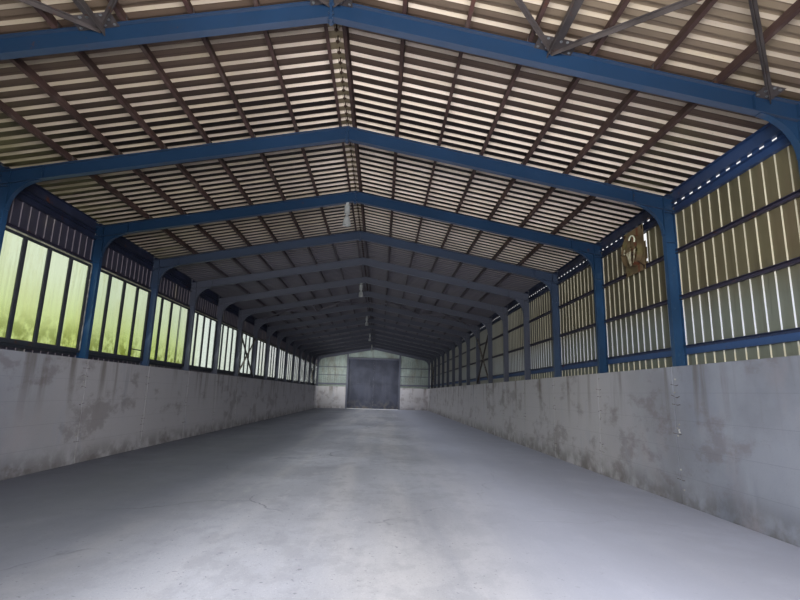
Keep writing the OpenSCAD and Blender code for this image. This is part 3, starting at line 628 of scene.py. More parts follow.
def roof_finish():
    """Weathered cream coating: cream rib flanks, partly painted light, and flats gone brown with damp,
    partly painted shade; grey and mossy outside
    """
    f = Finish("roof_coating", 0.6)
    base, stain = colours().roof[:], colours().roof_flat_stain_and_shade[:]
    left = f.band(f.x, 0.1, -0.9)
    eaveward = f.band(f.away(f.x), 0.3, 1.8)
    streak = f.noise(7, 6, (0.1, 1, 1))
    flat = f.mix(f.band(streak, 0.4, 0.66), tinted(stain, 0.72), stain)
    flat = f.over(flat, tinted(stain, 1.7), f.band(f.noise(1.3, 4), 0.5, 0.7), 0.5)
    # Painted shade: flats almost black beyond the front bays
    painted_shade_far_flats = f.band(f.y, -9.9, -9.0)
    # Painted light: flats paler in the two bays nearest the front
    painted_light_second_bay = f.band(f.y, -9.4, -10.4)
    painted_light_first_bay = f.band(f.y, -10.4, -10.9)
    flat = f.over(flat, shade(9, 5, 4), painted_shade_far_flats, 0.92)
    flat = f.over(flat, shade(118, 97, 84), painted_light_second_bay, 0.65)
    flat = f.over(flat, shade(150, 133, 112), painted_light_first_bay, 0.9)
    place = f.off_centre(f.y, rib_pitch())
    # Dark bands at the rib feet on the flats: grime and painted shade
    foot = f.times(f.band(place, 0.37, 0.29), f.band(place, 0.2, 0.24))
    grime_and_painted_shade = f.times(foot, f.band(f.noise(5, 5, (0.4, 1, 1)), 0.3, 0.55))
    flat = f.over(flat, shade(62, 46, 36), grime_and_painted_shade, 0.6)
    # Painted light: flats next to the ridge paler
    ridge = f.band(f.away(f.x), 0.09, 0.05)
    flat = f.over(flat, shade(150, 136, 106), ridge, 0.7)
    # Painted shade: rib flanks on the left slope darker
    clean = f.over(base, shade(146, 131, 118), left, 0.8)
    # Painted shade: rib flanks near the front duller, more so towards the eaves
    painted_shade_near_front = f.band(f.y, -9.6, -10.6)
    worn = f.times(painted_shade_near_front, f.calc("ADD", f.times(eaveward, 0.3), 0.5))
    clean = f.mix(worn, clean, shade(156, 143, 128))
    row = f.band(f.noise(2.6, 5, (0.35, 4.0, 1.0)), 0.35, 0.65)
    clean = f.over(clean, shade(200, 184, 148), row, 0.3)
    streaked = f.band(streak, 0.56, 0.72)
    clean = f.over(clean, shade(150, 136, 122), streaked, 0.5)
    # Cream flanks against brown flats: partly the coating, partly painted light on the flanks and painted
    # shade on the flats
    inner = f.mix(flanks(f, f.along), flat, clean)
    eaves = f.band(f.away(f.x), 2.2, 3.0)
    damp = f.times(f.band(f.noise(2.2, 6, (0.5, 1, 1)), 0.42, 0.66), eaves)
    inner = f.over(inner, shade(122, 116, 80), damp, f.calc("ADD", f.times(left, 0.3), 0.5))
    # Painted haze: flanks and flats in the far bays evened out to one dim grey
    painted_haze_deep_bays = f.band(f.y, -6.8, -4.6)
    inner = f.over(inner, shade(112, 109, 119), painted_haze_deep_bays, 0.9)
    speck = f.band(f.noise(60, 4, rough=0.7), 0.6, 0.75)
    inner = f.over(inner, tinted(stain, 0.6), speck, 0.3)
    outer = f.mix(f.band(f.noise(0.8, 4), 0.35, 0.65), shade(148, 144, 134), shade(184, 180, 168))
    runs = f.band(f.noise(8, 6, (0.12, 1, 1)), 0.46, 0.7)
    outer = f.over(outer, shade(122, 114, 98), runs, 0.5)
    moss = f.band(f.noise(1.6, 7, (0.4, 1, 1), 0.65), 0.5, 0.74)
    outer = f.over(outer, shade(102, 100, 80), moss, 0.65)
    f.paint(f.mix(f.band(f.up, -0.02, 0.02), inner, outer)).rough(streak, 0.45, 0.75)
    f.relief(f.noise(50, 5), 0.1, 0.001)
    return f.material


def coat_upright(f, flat, ribs_face, outward, darker_left_inside, dull=0.0):
    """Streaked flats and pale rib flanks, the flanks partly painted light; outward is above 0 outside; the
    darker left tone and dull, which is painted light, lie on the inside
    """
    tone = f.mix(f.band(f.noise(1.1, 4), 0.35, 0.65), tinted(flat, 0.72), flat)
    brown = f.band(f.noise(2.4, 5, (1, 1, 0.35)), 0.46, 0.68)
    tone = f.over(tone, shade(112, 94, 74), brown, 0.45)
    low = f.band(f.z, DADO_TOP + 0.72, DADO_TOP + 0.35)
    tone = f.over(tone, shade(122, 132, 126), low, 0.6)
    drips = f.band(f.noise(9, 6, (1, 1, 0.07)), 0.55, 0.74)
    tone = f.over(tone, shade(78, 66, 50), drips, 0.45)
    inside = f.band(outward, 0.002, -0.002)
    line = colours().rib_flank_paint_and_light[:]
    pale = f.mix(f.band(f.noise(3.0, 5, (1, 1, 0.3)), 0.4, 0.7), line, tinted(line, 0.6))
    pale = f.over(pale, shade(240, 243, 252), low, f.band(f.z, DADO_TOP + 0.06, DADO_TOP + 0.16))
    side = flanks(f, ribs_face)
    # Pale flanks on the inside: partly paint, partly painted light
    tone = f.over(tone, pale, f.times(side, inside), 0.92)
    # Darker tone, in patches, on the inside of the left wall, flats and flanks
    left_inside_tone = f.mix(side, shade(68, 66, 80), shade(130, 122, 130))
    tone = f.over(tone, left_inside_tone, inside, darker_left_inside)
    # Painted light: a paler grey on the inside, as thick as dull says
    tone = f.over(tone, shade(158, 160, 156), inside, dull)
    # Painted shade: the inside of the right wall darker past the front bays
    painted_shade_right_past_second_frame = f.times(f.band(f.y, -9.1, -8.9), f.band(f.x, 2.0, 2.5))
    tone = f.over(tone, shade(40, 44, 36), f.times(painted_shade_right_past_second_frame, inside), 0.14)
    f.paint(f.rusty(tone, 0.67, 0.75, 5)).rough(drips, 0.42, 0.75)
    f.relief(f.noise(55, 4), 0.1, 0.001)
    return f.material


def wall_finish():
    """Grey green side sheets, darker inside on the left wall, painted light on the inside of the far right
    wall
    """
    f = Finish("wall_coating", 0.55)
    darker_left_inside = f.times(f.band(f.x, -2.0, -2.5), f.band(f.noise(4, 5, (1, 1, 0.4)), 0.1, 0.5))
    # Painted light: the inside of the right wall paler and greyer towards the far end
    dull = f.times(f.band(f.y, -6.5, 0.0), f.band(f.x, 2.0, 2.5))
    return coat_upright(f, colours().wall[:], f.along, f.times(f.across, f.x), darker_left_inside,
                        f.times(dull, 0.75))


def gable_finish():
    """Pale grey green sheets of the gables"""
    f = Finish("gable_coating", 0.55)
    return coat_upright(f, colours().gable[:], f.across, f.times(f.along, f.y), 0.0)


def rail_finish():
    """Dark blue paint of rails, bands and frames, with rust runs and pale dust on top, and painted light on
    the right eave beam near the front
    """
    f = Finish("dark_rail_paint", 0.5)
    base = colours().rail[:]
    tone = f.mix(f.band(f.noise(2.5, 5), 0.35, 0.65), tinted(base, 0.55), base)
    mauve = f.times(f.band(f.z, DADO_TOP + 0.3, DADO_TOP + 0.4), f.band(f.z, DADO_TOP + 1.3, DADO_TOP + 1.2))
    tone = f.over(tone, shade(74, 66, 80), mauve, 0.6)
    main = f.times(f.band(f.z, DADO_TOP + 0.25, DADO_TOP + 0.2), f.band(f.x, 2.0, 2.5))
    tone = f.over(tone, shade(60, 88, 134), main, 0.85)
    ledge = FLOOR_TOP + sizes().main_rail + 0.014
    lid = f.times(main, f.band(f.z, ledge, ledge + 0.003))
    tone = f.over(tone, shade(46, 48, 68), lid, 0.8)
    # Painted light: the right eave beam lighter blue near the front
    beam = f.times(f.band(f.x, 2.0, 2.5), f.band(f.z, FLOOR_TOP + 2.5, FLOOR_TOP + 2.56))
    tone = f.over(tone, shade(52, 80, 126), beam, f.times(f.band(f.y, -8.4, -10.4), 0.75))
    framing = f.times(f.band(f.x, -2.5, -3.0), f.band(f.z, WINDOW_HIGH.z + 0.03, WINDOW_HIGH.z - 0.01))
    tone = f.over(tone, shade(58, 62, 64), framing, 0.7)
    tone = f.rusty(tone, 0.6, 0.7, 7)
    f.paint(f.dusty(tone, 1.0)).rough(f.noise(20, 4), 0.35, 0.7)
    f.relief(f.noise(60, 4), 0.12, 0.001)
    return f.material


def brace_finish():
    """Grey primer of the bracing, scratched and rusty at the bolts, with painted haze on the far roof braces
    """
    f = Finish("brace_primer", 0.6)
    base = colours().brace[:]
    tone = f.mix(f.band(f.noise(4, 5), 0.35, 0.65), tinted(base, 0.6), base)
    # Painted haze: roof braces in the far bays lightened to the tone of the roof
    deep = f.times(f.band(f.y, -4.6, -2.6), f.band(f.z, FLOOR_TOP + 2.4, FLOOR_TOP + 2.5))
    tone = f.over(tone, shade(122, 118, 128), deep, 0.9)
    f.paint(f.dusty(f.rusty(tone, 0.58, 0.7), 0.8)).rough(f.noise(25, 4), 0.45, 0.75)
    f.relief(f.noise(60, 4), 0.15, 0.001)
    return f.material


def door_finish():
    """Dark paint of the leaves with scuffs low down and streaks"""
    f = Finish("leaf_paint", 0.5)
    base = colours().door[:]
    tone = f.mix(f.band(f.noise(1.5, 5), 0.35, 0.65), tinted(base, 0.7), base)
    streak = f.band(f.noise(7, 6, (1, 1, 0.08)), 0.52, 0.72)
    tone = f.over(tone, shade(96, 98, 108), streak, 0.4)
    scuff = f.times(f.band(f.z, FLOOR_TOP + 0.6, FLOOR_TOP), f.band(f.noise(6, 6), 0.45, 0.65))
    tone = f.over(tone, shade(128, 120, 108), scuff, 0.6)
    f.paint(f.dusty(f.rusty(tone, 0.64, 0.72, 6), 0.9)).rough(streak, 0.38, 0.7)
    f.relief(f.noise(60, 4), 0.12, 0.001)
    return f.material


def lamp_finish():
    """Spun aluminium gone dull, dusty on top"""
    f = Finish("lamp_metal", 0.42, metallic=0.35)
    base = colours().lamp[:]
    tone = f.mix(f.band(f.noise(9, 5), 0.35, 0.65), tinted(base, 0.72), base)
    f.paint(f.dusty(tone, 0.9)).rough(f.noise(20, 4), 0.3, 0.6)
    return f.material


def vent_finish():
    """Brown sheet steel, rusted through its old paint"""
    f = Finish("ventilator_rust", 0.8)
    base = colours().vent[:]
    tone = f.mix(f.band(f.noise(5, 6), 0.35, 0.65), tinted(base, 0.5), base)
    tone = f.mix(f.band(f.noise(8, 5), 0.5, 0.7), tone, shade(112, 112, 74))
    run_y = frame_y(3) + 0.58
    run = f.times(f.band(f.y, run_y - 0.03, run_y - 0.01), f.band(f.y, run_y + 0.03, run_y + 0.01))
    tone = f.over(tone, shade(112, 52, 34), run, 0.7)
    f.paint(f.rusty(tone, 0.56, 0.68, 8))
    f.relief(f.noise(50, 6), 0.4, 0.002)
    return f.material


def cream_finish():
    """Old cream paint of the ventilator's bow and bracket, dirty and chipped, with a painted highlight on
    its upper part
    """
    f = Finish("worn_cream", 0.6)
    tone = f.mix(f.band(f.noise(26, 5), 0.35, 0.6), shade(146, 128, 108), shade(216, 208, 176))
    # Painted highlight: the upper part of the bow near white
    bright = f.band(f.z, FLOOR_TOP + 2.42, FLOOR_TOP + 2.46)
    tone = f.over(tone, shade(250, 250, 222), bright, 0.85)
    f.paint(f.rusty(tone, 0.6, 0.7, 20))
    return f.material


def glass_finish():
    """Milky glass that daylight comes through: greener with algae near the front, whiter further along"""
    f = Finish("stained_glass", 0.25)
    clean, algae = colours().glass[:], colours().algae[:]
    pane_step = sizes().bay / 4.0
    pane = f.add("ShaderNodeTexWhiteNoise")
    pane.noise_dimensions = "1D"
    from_post = f.calc("SUBTRACT", f.y, 0.05)
    f.link(f.calc("FLOOR", f.calc("DIVIDE", from_post, pane_step)), pane.inputs["W"])
    nearer = f.band(f.y, -3.6, -5.2)
    film = f.calc("ADD", f.times(nearer, 0.8), f.times(pane.outputs["Value"], 0.16))
    fall = f.band(f.z, WINDOW_HIGH.z - 0.1, WINDOW_LOW.z + 0.1)
    green = f.times(film, f.calc("ADD", f.times(fall, 0.62), 0.38))
    far_half = f.band(f.y, -1.0, 2.5)
    clean = f.mix(far_half, clean, shade(250, 254, 255))
    tone = f.mix(green, clean, algae)
    mottled = f.band(f.noise(6, 7, (1, 1, 0.35), 0.65), 0.42, 0.72)
    tone = f.over(tone, shade(206, 206, 130), mottled, f.times(film, 0.3))
    shaded = f.times(f.band(f.y, -7.7, -7.3), f.band(f.y, -4.3, -4.7))
    tone = f.over(tone, shade(124, 156, 118), shaded, 0.17)
    runs = f.band(f.noise(26, 5, (1, 1, 0.06)), 0.48, 0.66)
    tone = f.over(tone, shade(172, 188, 140), f.times(runs, film), 0.26)
    foot = f.band(f.z, WINDOW_LOW.z + 0.42, WINDOW_LOW.z + 0.03)
    sludge = f.times(f.times(foot, f.band(f.noise(9, 6), 0.36, 0.62)), film)
    tone = f.over(tone, shade(112, 124, 40), sludge, 0.95)
    specks = f.band(f.noise(70, 5, (1, 1, 0.45), 0.75), 0.6, 0.7)
    tone = f.over(tone, shade(120, 122, 72), f.times(specks, film), 0.5)
    f.shader.inputs["Transmission Weight"].default_value = 0.9
    f.shader.inputs["IOR"].default_value = 1.06
    f.paint(tone)
    return f.material


def zinc_finish():
    """Galvanised bolts and screws"""
    f = Finish("bright_zinc", 0.35, metallic=0.6)
    base = colours().zinc[:]
    f.paint(f.mix(f.band(f.noise(30, 4), 0.35, 0.65), tinted(base, 0.6), base))
    f.rough(f.noise(50, 3), 0.3, 0.6)
    return f.material


def dark_bolt_finish():
    """Old bolts, brown and dull"""
    f = Finish("brown_bolt", 0.7, metallic=0.3)
    f.paint(f.mix(f.noise(30, 4), shade(54, 44, 40), shade(92, 70, 56)))
    return f.material


def mortar_finish():
    """Pale lime mortar and cement smears"""
    f = Finish("pale_mortar", 0.9)
    f.paint(f.mix(f.band(f.noise(18, 6), 0.35, 0.65), shade(150, 148, 142), shade(206, 204, 198)))
    f.relief(f.noise(60, 6), 0.4, 0.002)
    return f.material


def putty_finish():
    """Old pale putty, gone greenish"""
    f = Finish("pale_putty", 0.8)
    f.paint(f.mix(f.band(f.noise(9, 6), 0.35, 0.65), shade(150, 152, 128), shade(206, 204, 178)))
    return f.material


def bulb_finish():
    """Opal glass of the lamps"""
    f = Finish("opal_bulb", 0.2)
    f.paint(f.mix(f.noise(20, 2), shade(226, 226, 218), shade(240, 240, 236)))
    f.shader.inputs["Coat Weight"].default_value = 0.4
    return f.material


FINISHES = {
    "concrete_floor": floor_finish,
    "dado_concrete": dado_finish,
    "blue_steel": steel_finish,
    "purlin_steel": purlin_finish,
    "roof_sheet": roof_finish,
    "wall_sheet": wall_finish,
    "dark_rail": rail_finish,
    "window_glass": glass_finish,
    "brace_steel": brace_finish,
    "gable_sheet": gable_finish,
    "door_steel": door_finish,
    "lamp_metal": lamp_finish,
    "vent_metal": vent_finish,
    "worn_cream": cream_finish,
    "zinc": zinc_finish,
    "brown_bolt": dark_bolt_finish,
    "mortar": mortar_finish,
    "putty": putty_finish,
    "bulb": bulb_finish,
}
MADE = {}


def finish_named(name):
    """The finish of that name, made the first time that it is asked for"""
    if name not in MADE:
        MADE[name] = FINISHES[name]()
    return MADE[name]


# Steps of the build, an operator for each

class HALL_OT_finish_solids(bpy.types.Operator):
    """Gives each solid the finish of its slot"""
    bl_idname = "hall.finish_solids"
    bl_label = "Finish the solids"
    bl_options = {"REGISTER", "UNDO"}

    def execute(self, context):
        for part in frame["record"]["subparts"]:
            solid = SOLIDS[part["node"]]
            solid.data.materials.clear()
            solid.data.materials.append(finish_named(part["material_slot"]))
        return {"FINISHED"}


class HALL_OT_frame_bolts(bpy.types.Operator):
    """Bolts of the ridge plates, and of the rafters on the column heads"""
    bl_idname = "hall.frame_bolts"
    bl_label = "Frame bolts"
    bl_options = {"REGISTER", "UNDO"}

    def execute(self, context):
        s = sizes()
        head = bolt(s.bolt_head)
        gauge = s.flange_width * 0.32
        rows = (-0.010, s.rafter_depth * 0.26, s.rafter_depth * 0.74)
        from_edge = 0.03
        ridge, seat = [], []
        for j in range(s.bays + 1):
            for side in (-1, 1):
                for y in (frame_y(j) - gauge, frame_y(j) + gauge):
                    ridge += [at(side * s.flange, y, s.apex + up, facing((side, 0, 0))) for up in rows]
                    for x in (COLUMN_IN + from_edge, COLUMN_OUT - from_edge):
                        seat.append(on_slope(side, x / math.cos(s.roof_pitch), y, 0.0, s.flange))
        add_piece("ridge_plate_bolts", [(head, ridge)], "blue_steel")
        add_piece("column_head_bolts", [(head, seat)], "blue_steel")
        return {"FINISHED"}


class HALL_OT_stiffeners(bpy.types.Operator):
    """Stiffener plates between the flanges of columns and rafters at the haunches"""
    bl_idname = "hall.stiffeners"
    bl_label = "Stiffeners"
    bl_options = {"REGISTER", "UNDO"}

    def execute(self, context):
        s = sizes()
        thick, gap, edge = 0.006, 0.0005, 0.001
        wing = (s.flange_width - s.web) / 2 - 0.002
        deep = COLUMN_OUT - COLUMN_IN - 2 * s.flange - 2 * gap
        flat = chamfered(deep, wing, thick, edge)
        upright = chamfered(thick, wing, s.rafter_depth - 2 * s.flange - thick, edge)
        middle = (COLUMN_IN + COLUMN_OUT) / 2
        under_knee, under_eave = under(COLUMN_IN) - s.knee_radius - 0.022, under(COLUMN_OUT) - 0.012
        ends = (COLUMN_IN - s.knee_radius + 0.03, COLUMN_IN + 0.012)
        level, standing = [], []
        for j in range(s.bays + 1):
            for side in (-1, 1):
                for face in (-1, 1):
                    y = frame_y(j) + face * (s.web / 2 + gap + wing / 2)
                    level += [at(side * middle, y, z) for z in (under_knee, under_eave)]
                    standing += [at(side * x, y, under(x) + s.rafter_depth / 2) for x in ends]
        add_piece("stiffeners", [(flat, level), (upright, standing)], "blue_steel")
        return {"FINISHED"}


class HALL_OT_purlin_cleats(bpy.types.Operator):
    """Angle cleats that hold the purlins on the rafters, each with two bolts"""
    bl_idname = "hall.purlin_cleats"
    bl_label = "Purlin cleats"
    bl_options = {"REGISTER", "UNDO"}

    def execute(self, context):
        s = sizes()
        cos = math.cos(s.roof_pitch)
        thick, leg, wide, gap = 0.004, 0.046, 0.044, 0.0004
        angle = extruded([(0, 0), (-leg, 0), (-leg, thick), (-thick, thick), (-thick, leg), (0, leg)], wide)
        head = bolt(0.005)
        lift = Matrix.Translation((-gap, 0, s.rafter_depth * cos + gap))
        flat_bolt = Matrix.Translation((-leg * 0.6, 0, thick))
        upright_bolt = at(-thick, 0, leg * 0.62, facing((-1, 0, 0)))
        cleats, bolts = [], []
        for side in (-1, 1):
            for x in purlin_places():
                along = x / cos - s.rafter_depth * math.sin(s.roof_pitch)
                for j in range(s.bays + 1):
                    cleat = on_slope(side, along, frame_y(j), 0.0) @ lift
                    cleats.append(cleat)
                    bolts += [cleat @ flat_bolt, cleat @ upright_bolt]
        add_piece("purlin_cleats", [(angle, cleats)], "brace_steel")
        add_piece("purlin_bolts", [(head, bolts)], "brown_bolt")
        return {"FINISHED"}


class HALL_OT_brace_bolts(bpy.types.Operator):
    """Bright bolts of the bracing gussets, on the roof and on both walls"""
    bl_idname = "hall.brace_bolts"
    bl_label = "Brace bolts"
    bl_options = {"REGISTER", "UNDO"}

    def execute(self, context):
        s = sizes()
        head = bolt(0.0065)
        gusset = 0.006
        reach = s.bay - s.web
        roof_spots = [(0.046, 0.026), (0.086, 0.066), (0.022, 0.100), (0.100, 0.022), (0.060, 0.105)]
        out = s.rafter_depth - s.flange - gusset
        splits = (s.flange + 0.008, s.brace_mid, COLUMN_IN - s.knee_radius / 2)
        edges = [x / math.cos(s.roof_pitch) for x in splits]
        over = Matrix.Rotation(math.pi, 4, "X")
        roof = []
        for j in brace_bays():
            start = frame_y(j) + s.web / 2
            for side in (-1, 1):
                for low, high in zip(edges, edges[1:]):
                    for dx, dy in roof_spots:
                        for x in (low + dx, high - dx):
                            for y in (start + dy, start + reach - dy):
                                roof.append(on_slope(side, x, y, 0.0, out) @ over)
        add_piece("roof_brace_bolts", [(head, roof)], "zinc")
        wall_spots = [(0.018, 0.018), (0.018, 0.05), (0.05, 0.018)]
        gusset_in, gusset_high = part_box("wall_braces_right")[0].x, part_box("wall_braces_right")[1].z
        low = DADO_TOP + 0.020
        wall = []
        for side, high in ((-1, WINDOW_HIGH.z - 0.040), (1, gusset_high)):
            for j in brace_bays():
                start = frame_y(j) + s.web / 2
                for dx, dz in wall_spots:
                    for y in (start + dx, start + reach - dx):
                        for z in (low + dz, high - dz):
                            wall.append(at(side * (gusset_in + 0.030), y, z, facing((-side, 0, 0))))
        add_piece("wall_brace_bolts", [(head, wall)], "zinc")
        return {"FINISHED"}


class HALL_OT_sheet_screws(bpy.types.Operator):
    """Screws with sealing washers: on the roof ribs over each purlin, in the wall pans at each rail"""
    bl_idname = "hall.sheet_screws"
    bl_label = "Sheet screws"
    bl_options = {"REGISTER", "UNDO"}

    def execute(self, context):
        s = sizes()
        head = screw(s.screw_head)
        cos = math.cos(s.roof_pitch)
        ribs = rib_centres()
        seal = 0.0004
        crown = s.rafter_depth + s.purlin_depth / cos + seal + (s.rib_height + s.sheet) / cos
        roof = [on_slope(side, x / cos, y, 0.0, crown)
                for side in (-1, 1) for x in purlin_places() for y in ribs]
        add_piece("roof_screws", [(head, roof)], "zinc")
        pans = [y + rib_pitch() / 2 for y in ribs]
        wall = []
        right = (s.main_rail, s.mid_rail, s.top_rail, s.eave_band)
        left = (s.head_rail, s.eave_band)
        for side, rows in ((1, right), (-1, left)):
            turn = facing((side, 0, 0))
            wall += [at(side * (SHEET_IN + s.sheet), y, FLOOR_TOP + z, turn) for z in rows for y in pans]
        add_piece("wall_screws", [(head, wall)], "zinc")
        return {"FINISHED"}


class HALL_OT_rail_nuts(bpy.types.Operator):
    """Nuts on the inside of the main rail, one at each rib that no column hides"""
    bl_idname = "hall.rail_nuts"
    bl_label = "Rail nuts"
    bl_options = {"REGISTER", "UNDO"}

    def execute(self, context):
        s = sizes()
        web, above_middle = COLUMN_OUT - 0.003, 0.020
        spots = [at(web, y, FLOOR_TOP + s.main_rail + above_middle, facing((-1, 0, 0)))
                 for y in rib_centres() if clear_of_frames(y, s.flange_width / 2 + 0.01)]
        add_piece("rail_nuts", [(bolt(0.0055), spots)], "dark_rail")
        return {"FINISHED"}


class HALL_OT_eave_closures(bpy.types.Operator):
    """Toothed strips in the right slot under the eave beam, a gap at each rib, and plain ones on the left"""
    bl_idname = "hall.eave_closures"
    bl_label = "Eave closures"
    bl_options = {"REGISTER", "UNDO"}

    def execute(self, context):
        s = sizes()
        low, high = FLOOR_TOP + s.slot_low, s.slot_high - s.slot_low
        wide, thick, lip_deep = rib_pitch() * 0.62, 0.002, 0.006
        clear = s.bay - s.flange_width - 0.002
        lip = extruded([(-lip_deep, 0), (0, 0), (0, thick), (-lip_deep, thick)], wide)
        tooth = upright_strip(thick, high, wide) + lip
        middles = [y + rib_pitch() / 2 for y in rib_centres()]
        teeth = [at(COLUMN_OUT - lip_deep, y, low) for y in middles
                 if clear_of_frames(y, s.flange_width / 2 + wide / 2)]
        bays = [frame_y(j) + s.bay / 2 for j in range(s.bays)]
        left = [at(0.004 - COLUMN_OUT, y, low) for y in bays]
        feet = [at(COLUMN_OUT - 0.009, y, low) for y in bays]
        add_piece("eave_closures", [(tooth, teeth), (upright_strip(thick, high, clear), left),
                                    (upright_strip(thick, high * 0.5, clear), feet)], "dark_rail")
        return {"FINISHED"}


class HALL_OT_rafter_caps(bpy.types.Operator):
    """Plates that close the open end of each rafter, between the wall sheet and the roof"""
    bl_idname = "hall.rafter_caps"
    bl_label = "Rafter caps"
    bl_options = {"REGISTER", "UNDO"}

    def execute(self, context):
        s = sizes()
        thick, lap, gap = 0.002, 0.004, 0.0006
        low = FLOOR_TOP + s.slot_low + 0.002
        high = under(COLUMN_OUT) + s.rafter_depth + s.purlin_depth - 0.004
        cap = chamfered(thick, s.flange_width + 2 * lap, high - low, 0.0005)
        caps = [at(side * (COLUMN_OUT + gap + thick / 2), frame_y(j), (low + high) / 2)
                for j in range(s.bays + 1) for side in (-1, 1)]
        add_piece("rafter_caps", [(cap, caps)], "blue_steel")
        return {"FINISHED"}


def ridge_filler():
    """Profiled sheet that carries the ribs over the gap at the ridge, from end to end"""
    s = sizes()
    level = s.apex + s.rafter_depth + s.purlin_depth / math.cos(s.roof_pitch)
    half, slope = s.ridge_gap - 0.0015, (s.rib_foot - s.rib_crown) / 2
    outline = []
    for y in rib_centres():
        start, end = y - s.rib_foot / 2, y + s.rib_foot / 2
        outline += [(start, 0), (start + slope, s.rib_height), (end - slope, s.rib_height), (end, 0)]
    lower = [(half * side, y, level + z) for y, z in outline for side in (-1, 1)]
    upper = [(x, y, z + s.sheet) for x, y, z in lower]
    n = len(lower)
    faces = []
    for k in range(0, n - 2, 2):
        faces += [(k, k + 2, k + 3, k + 1), (n + k, n + k + 1, n + k + 3, n + k + 2),
                  (k, n + k, n + k + 2, k + 2), (k + 1, k + 3, n + k + 3, n + k + 1)]
    faces += [(0, 1, n + 1, n), (n - 2, 2 * n - 2, 2 * n - 1, n - 1)]
    return Shape(lower + upper, faces)


class HALL_OT_ridge_pieces(bpy.types.Operator):
    """Profiled fillers that carry the ribs across the ridge, and a hook bolt at each rib"""
    bl_idname = "hall.ridge_pieces"
    bl_label = "Ridge fillers and bolts"
    bl_options = {"REGISTER", "UNDO"}

    def execute(self, context):
        add_piece("ridge_fillers", [(ridge_filler(), HERE)], "roof_sheet")
        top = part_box("ridge_cap")[1].z - 0.003
        radius, long, nut_low = 0.0045, 0.062, 0.046
        rod = turned([(radius, -long), (radius, 0.0)], 8)
        nut = bolt(0.010).moved(at(0, 0, -nut_low, Matrix.Rotation(math.pi, 3, "X")))
        add_piece("ridge_bolts", [(rod + nut, [at(0, y, top) for y in rib_centres()])], "brown_bolt")
        return {"FINISHED"}


class HALL_OT_window_beads(bpy.types.Operator):
    """Glazing beads, a strip over each window, a low bar across one pane and two filler strips"""
    bl_idname = "hall.window_beads"
    bl_label = "Window beads"
    bl_options = {"REGISTER", "UNDO"}

    def execute(self, context):
        s = sizes()
        member, panes, gap = 0.034, 4, 0.0002
        low, high = WINDOW_LOW.z + member, WINDOW_HIGH.z - member
        half = s.flange_width / 2 + gap
        pane = (s.bay - 2 * half - (panes + 1) * member) / panes
        face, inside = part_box("window_glass")[1].x + gap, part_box("window_frames")[1].x
        wide, thin = 0.009, 0.004
        profile = [(0, 0), (wide, 0), (wide, thin), (thin, wide), (0, wide)]
        near_edge = Matrix(((1, 0, 0), (0, 0, 1), (0, -1, 0)))
        far_edge = Matrix(((1, 0, 0), (0, 0, -1), (0, 1, 0)))
        upper_edge = Matrix(((1, 0, 0), (0, -1, 0), (0, 0, -1)))
        tall, flat = [], []
        for j in range(s.bays):
            for k in range(panes):
                start = frame_y(j) + half + member + k * (pane + member)
                tall.append(at(face, start, (low + high) / 2, near_edge))
                tall.append(at(face, start + pane, (low + high) / 2, far_edge))
                flat.append(at(face, start + pane / 2, low))
                flat.append(at(face, start + pane / 2, high, upper_edge))
        add_piece("window_beads", [(extruded(profile, high - low), tall), (extruded(profile, pane), flat)],
                  "dark_rail")
        on_frame, edge = inside + 0.0022, 0.001
        strip = chamfered(thin, s.bay - 2 * half - 0.02, 0.016, edge)
        heads = [at(on_frame, frame_y(j) + s.bay / 2, WINDOW_HIGH.z - 0.010) for j in range(s.bays)]
        add_piece("head_strips", [(strip, heads)], "putty")
        last_pane = frame_y(4) + half + member + 3 * (pane + member) + pane / 2
        bar = chamfered(0.010, pane, 0.014, 0.002)
        bar_place = at(face + 0.006, last_pane, FLOOR_TOP + s.low_bar)
        add_piece("low_window_bar", [(bar, [bar_place])], "dark_rail")
        filler = chamfered(thin, 0.018, WINDOW_HIGH.z - WINDOW_LOW.z - 0.04, edge)
        middle = (WINDOW_LOW.z + WINDOW_HIGH.z) / 2
        places = [at(on_frame, frame_y(j) - half - 0.011, middle) for j in (2, 4)]
        add_piece("filler_strips", [(filler, places)], "mortar")
        return {"FINISHED"}


class HALL_OT_dado_ties(bpy.types.Operator):
    """Bent wire ties across the slots between dado and columns, and mortar lumps along them"""
    bl_idname = "hall.dado_ties"
    bl_label = "Dado ties"
    bl_options = {"REGISTER", "UNDO"}

    def execute(self, context):
        s = sizes()
        draw = random.Random(7)
        ties_each, lumps_each, wire = 5, 9, 0.0022
        half = s.flange_width / 2
        ties, lumps = [], []
        for side in (-1, 1):
            x = side * (DADO_IN - 0.002)
            for j in range(1, s.bays):
                middle = frame_y(j)
                for _ in range(ties_each):
                    z = DADO_TOP - draw.uniform(0.08, 0.95)
                    drop = draw.uniform(-0.012, 0.012)
                    near = middle - half - draw.uniform(0.01, 0.04)
                    far = middle + half + draw.uniform(0.01, 0.04)
                    bends = [(x, near, z), (x, middle - half, z + drop),
                             (x + side * 0.006, middle + half / 2, z), (x, far, z - drop)]
                    ties.append((swept(bends, wire, 6), HERE))
                for _ in range(lumps_each):
                    z = DADO_TOP - draw.uniform(0.02, 1.05)
                    spin = Matrix.Rotation(draw.uniform(-0.5, 0.5), 3, "X")
                    lumps.append(at(side * (DADO_IN + 0.001), middle + draw.uniform(-half, 0.004), z, spin))
        add_piece("dado_ties", ties, "brown_bolt")
        lump = chamfered(0.008, 0.022, 0.014, 0.003)
        add_piece("mortar_lumps", [(lump, lumps)], "mortar")
        return {"FINISHED"}


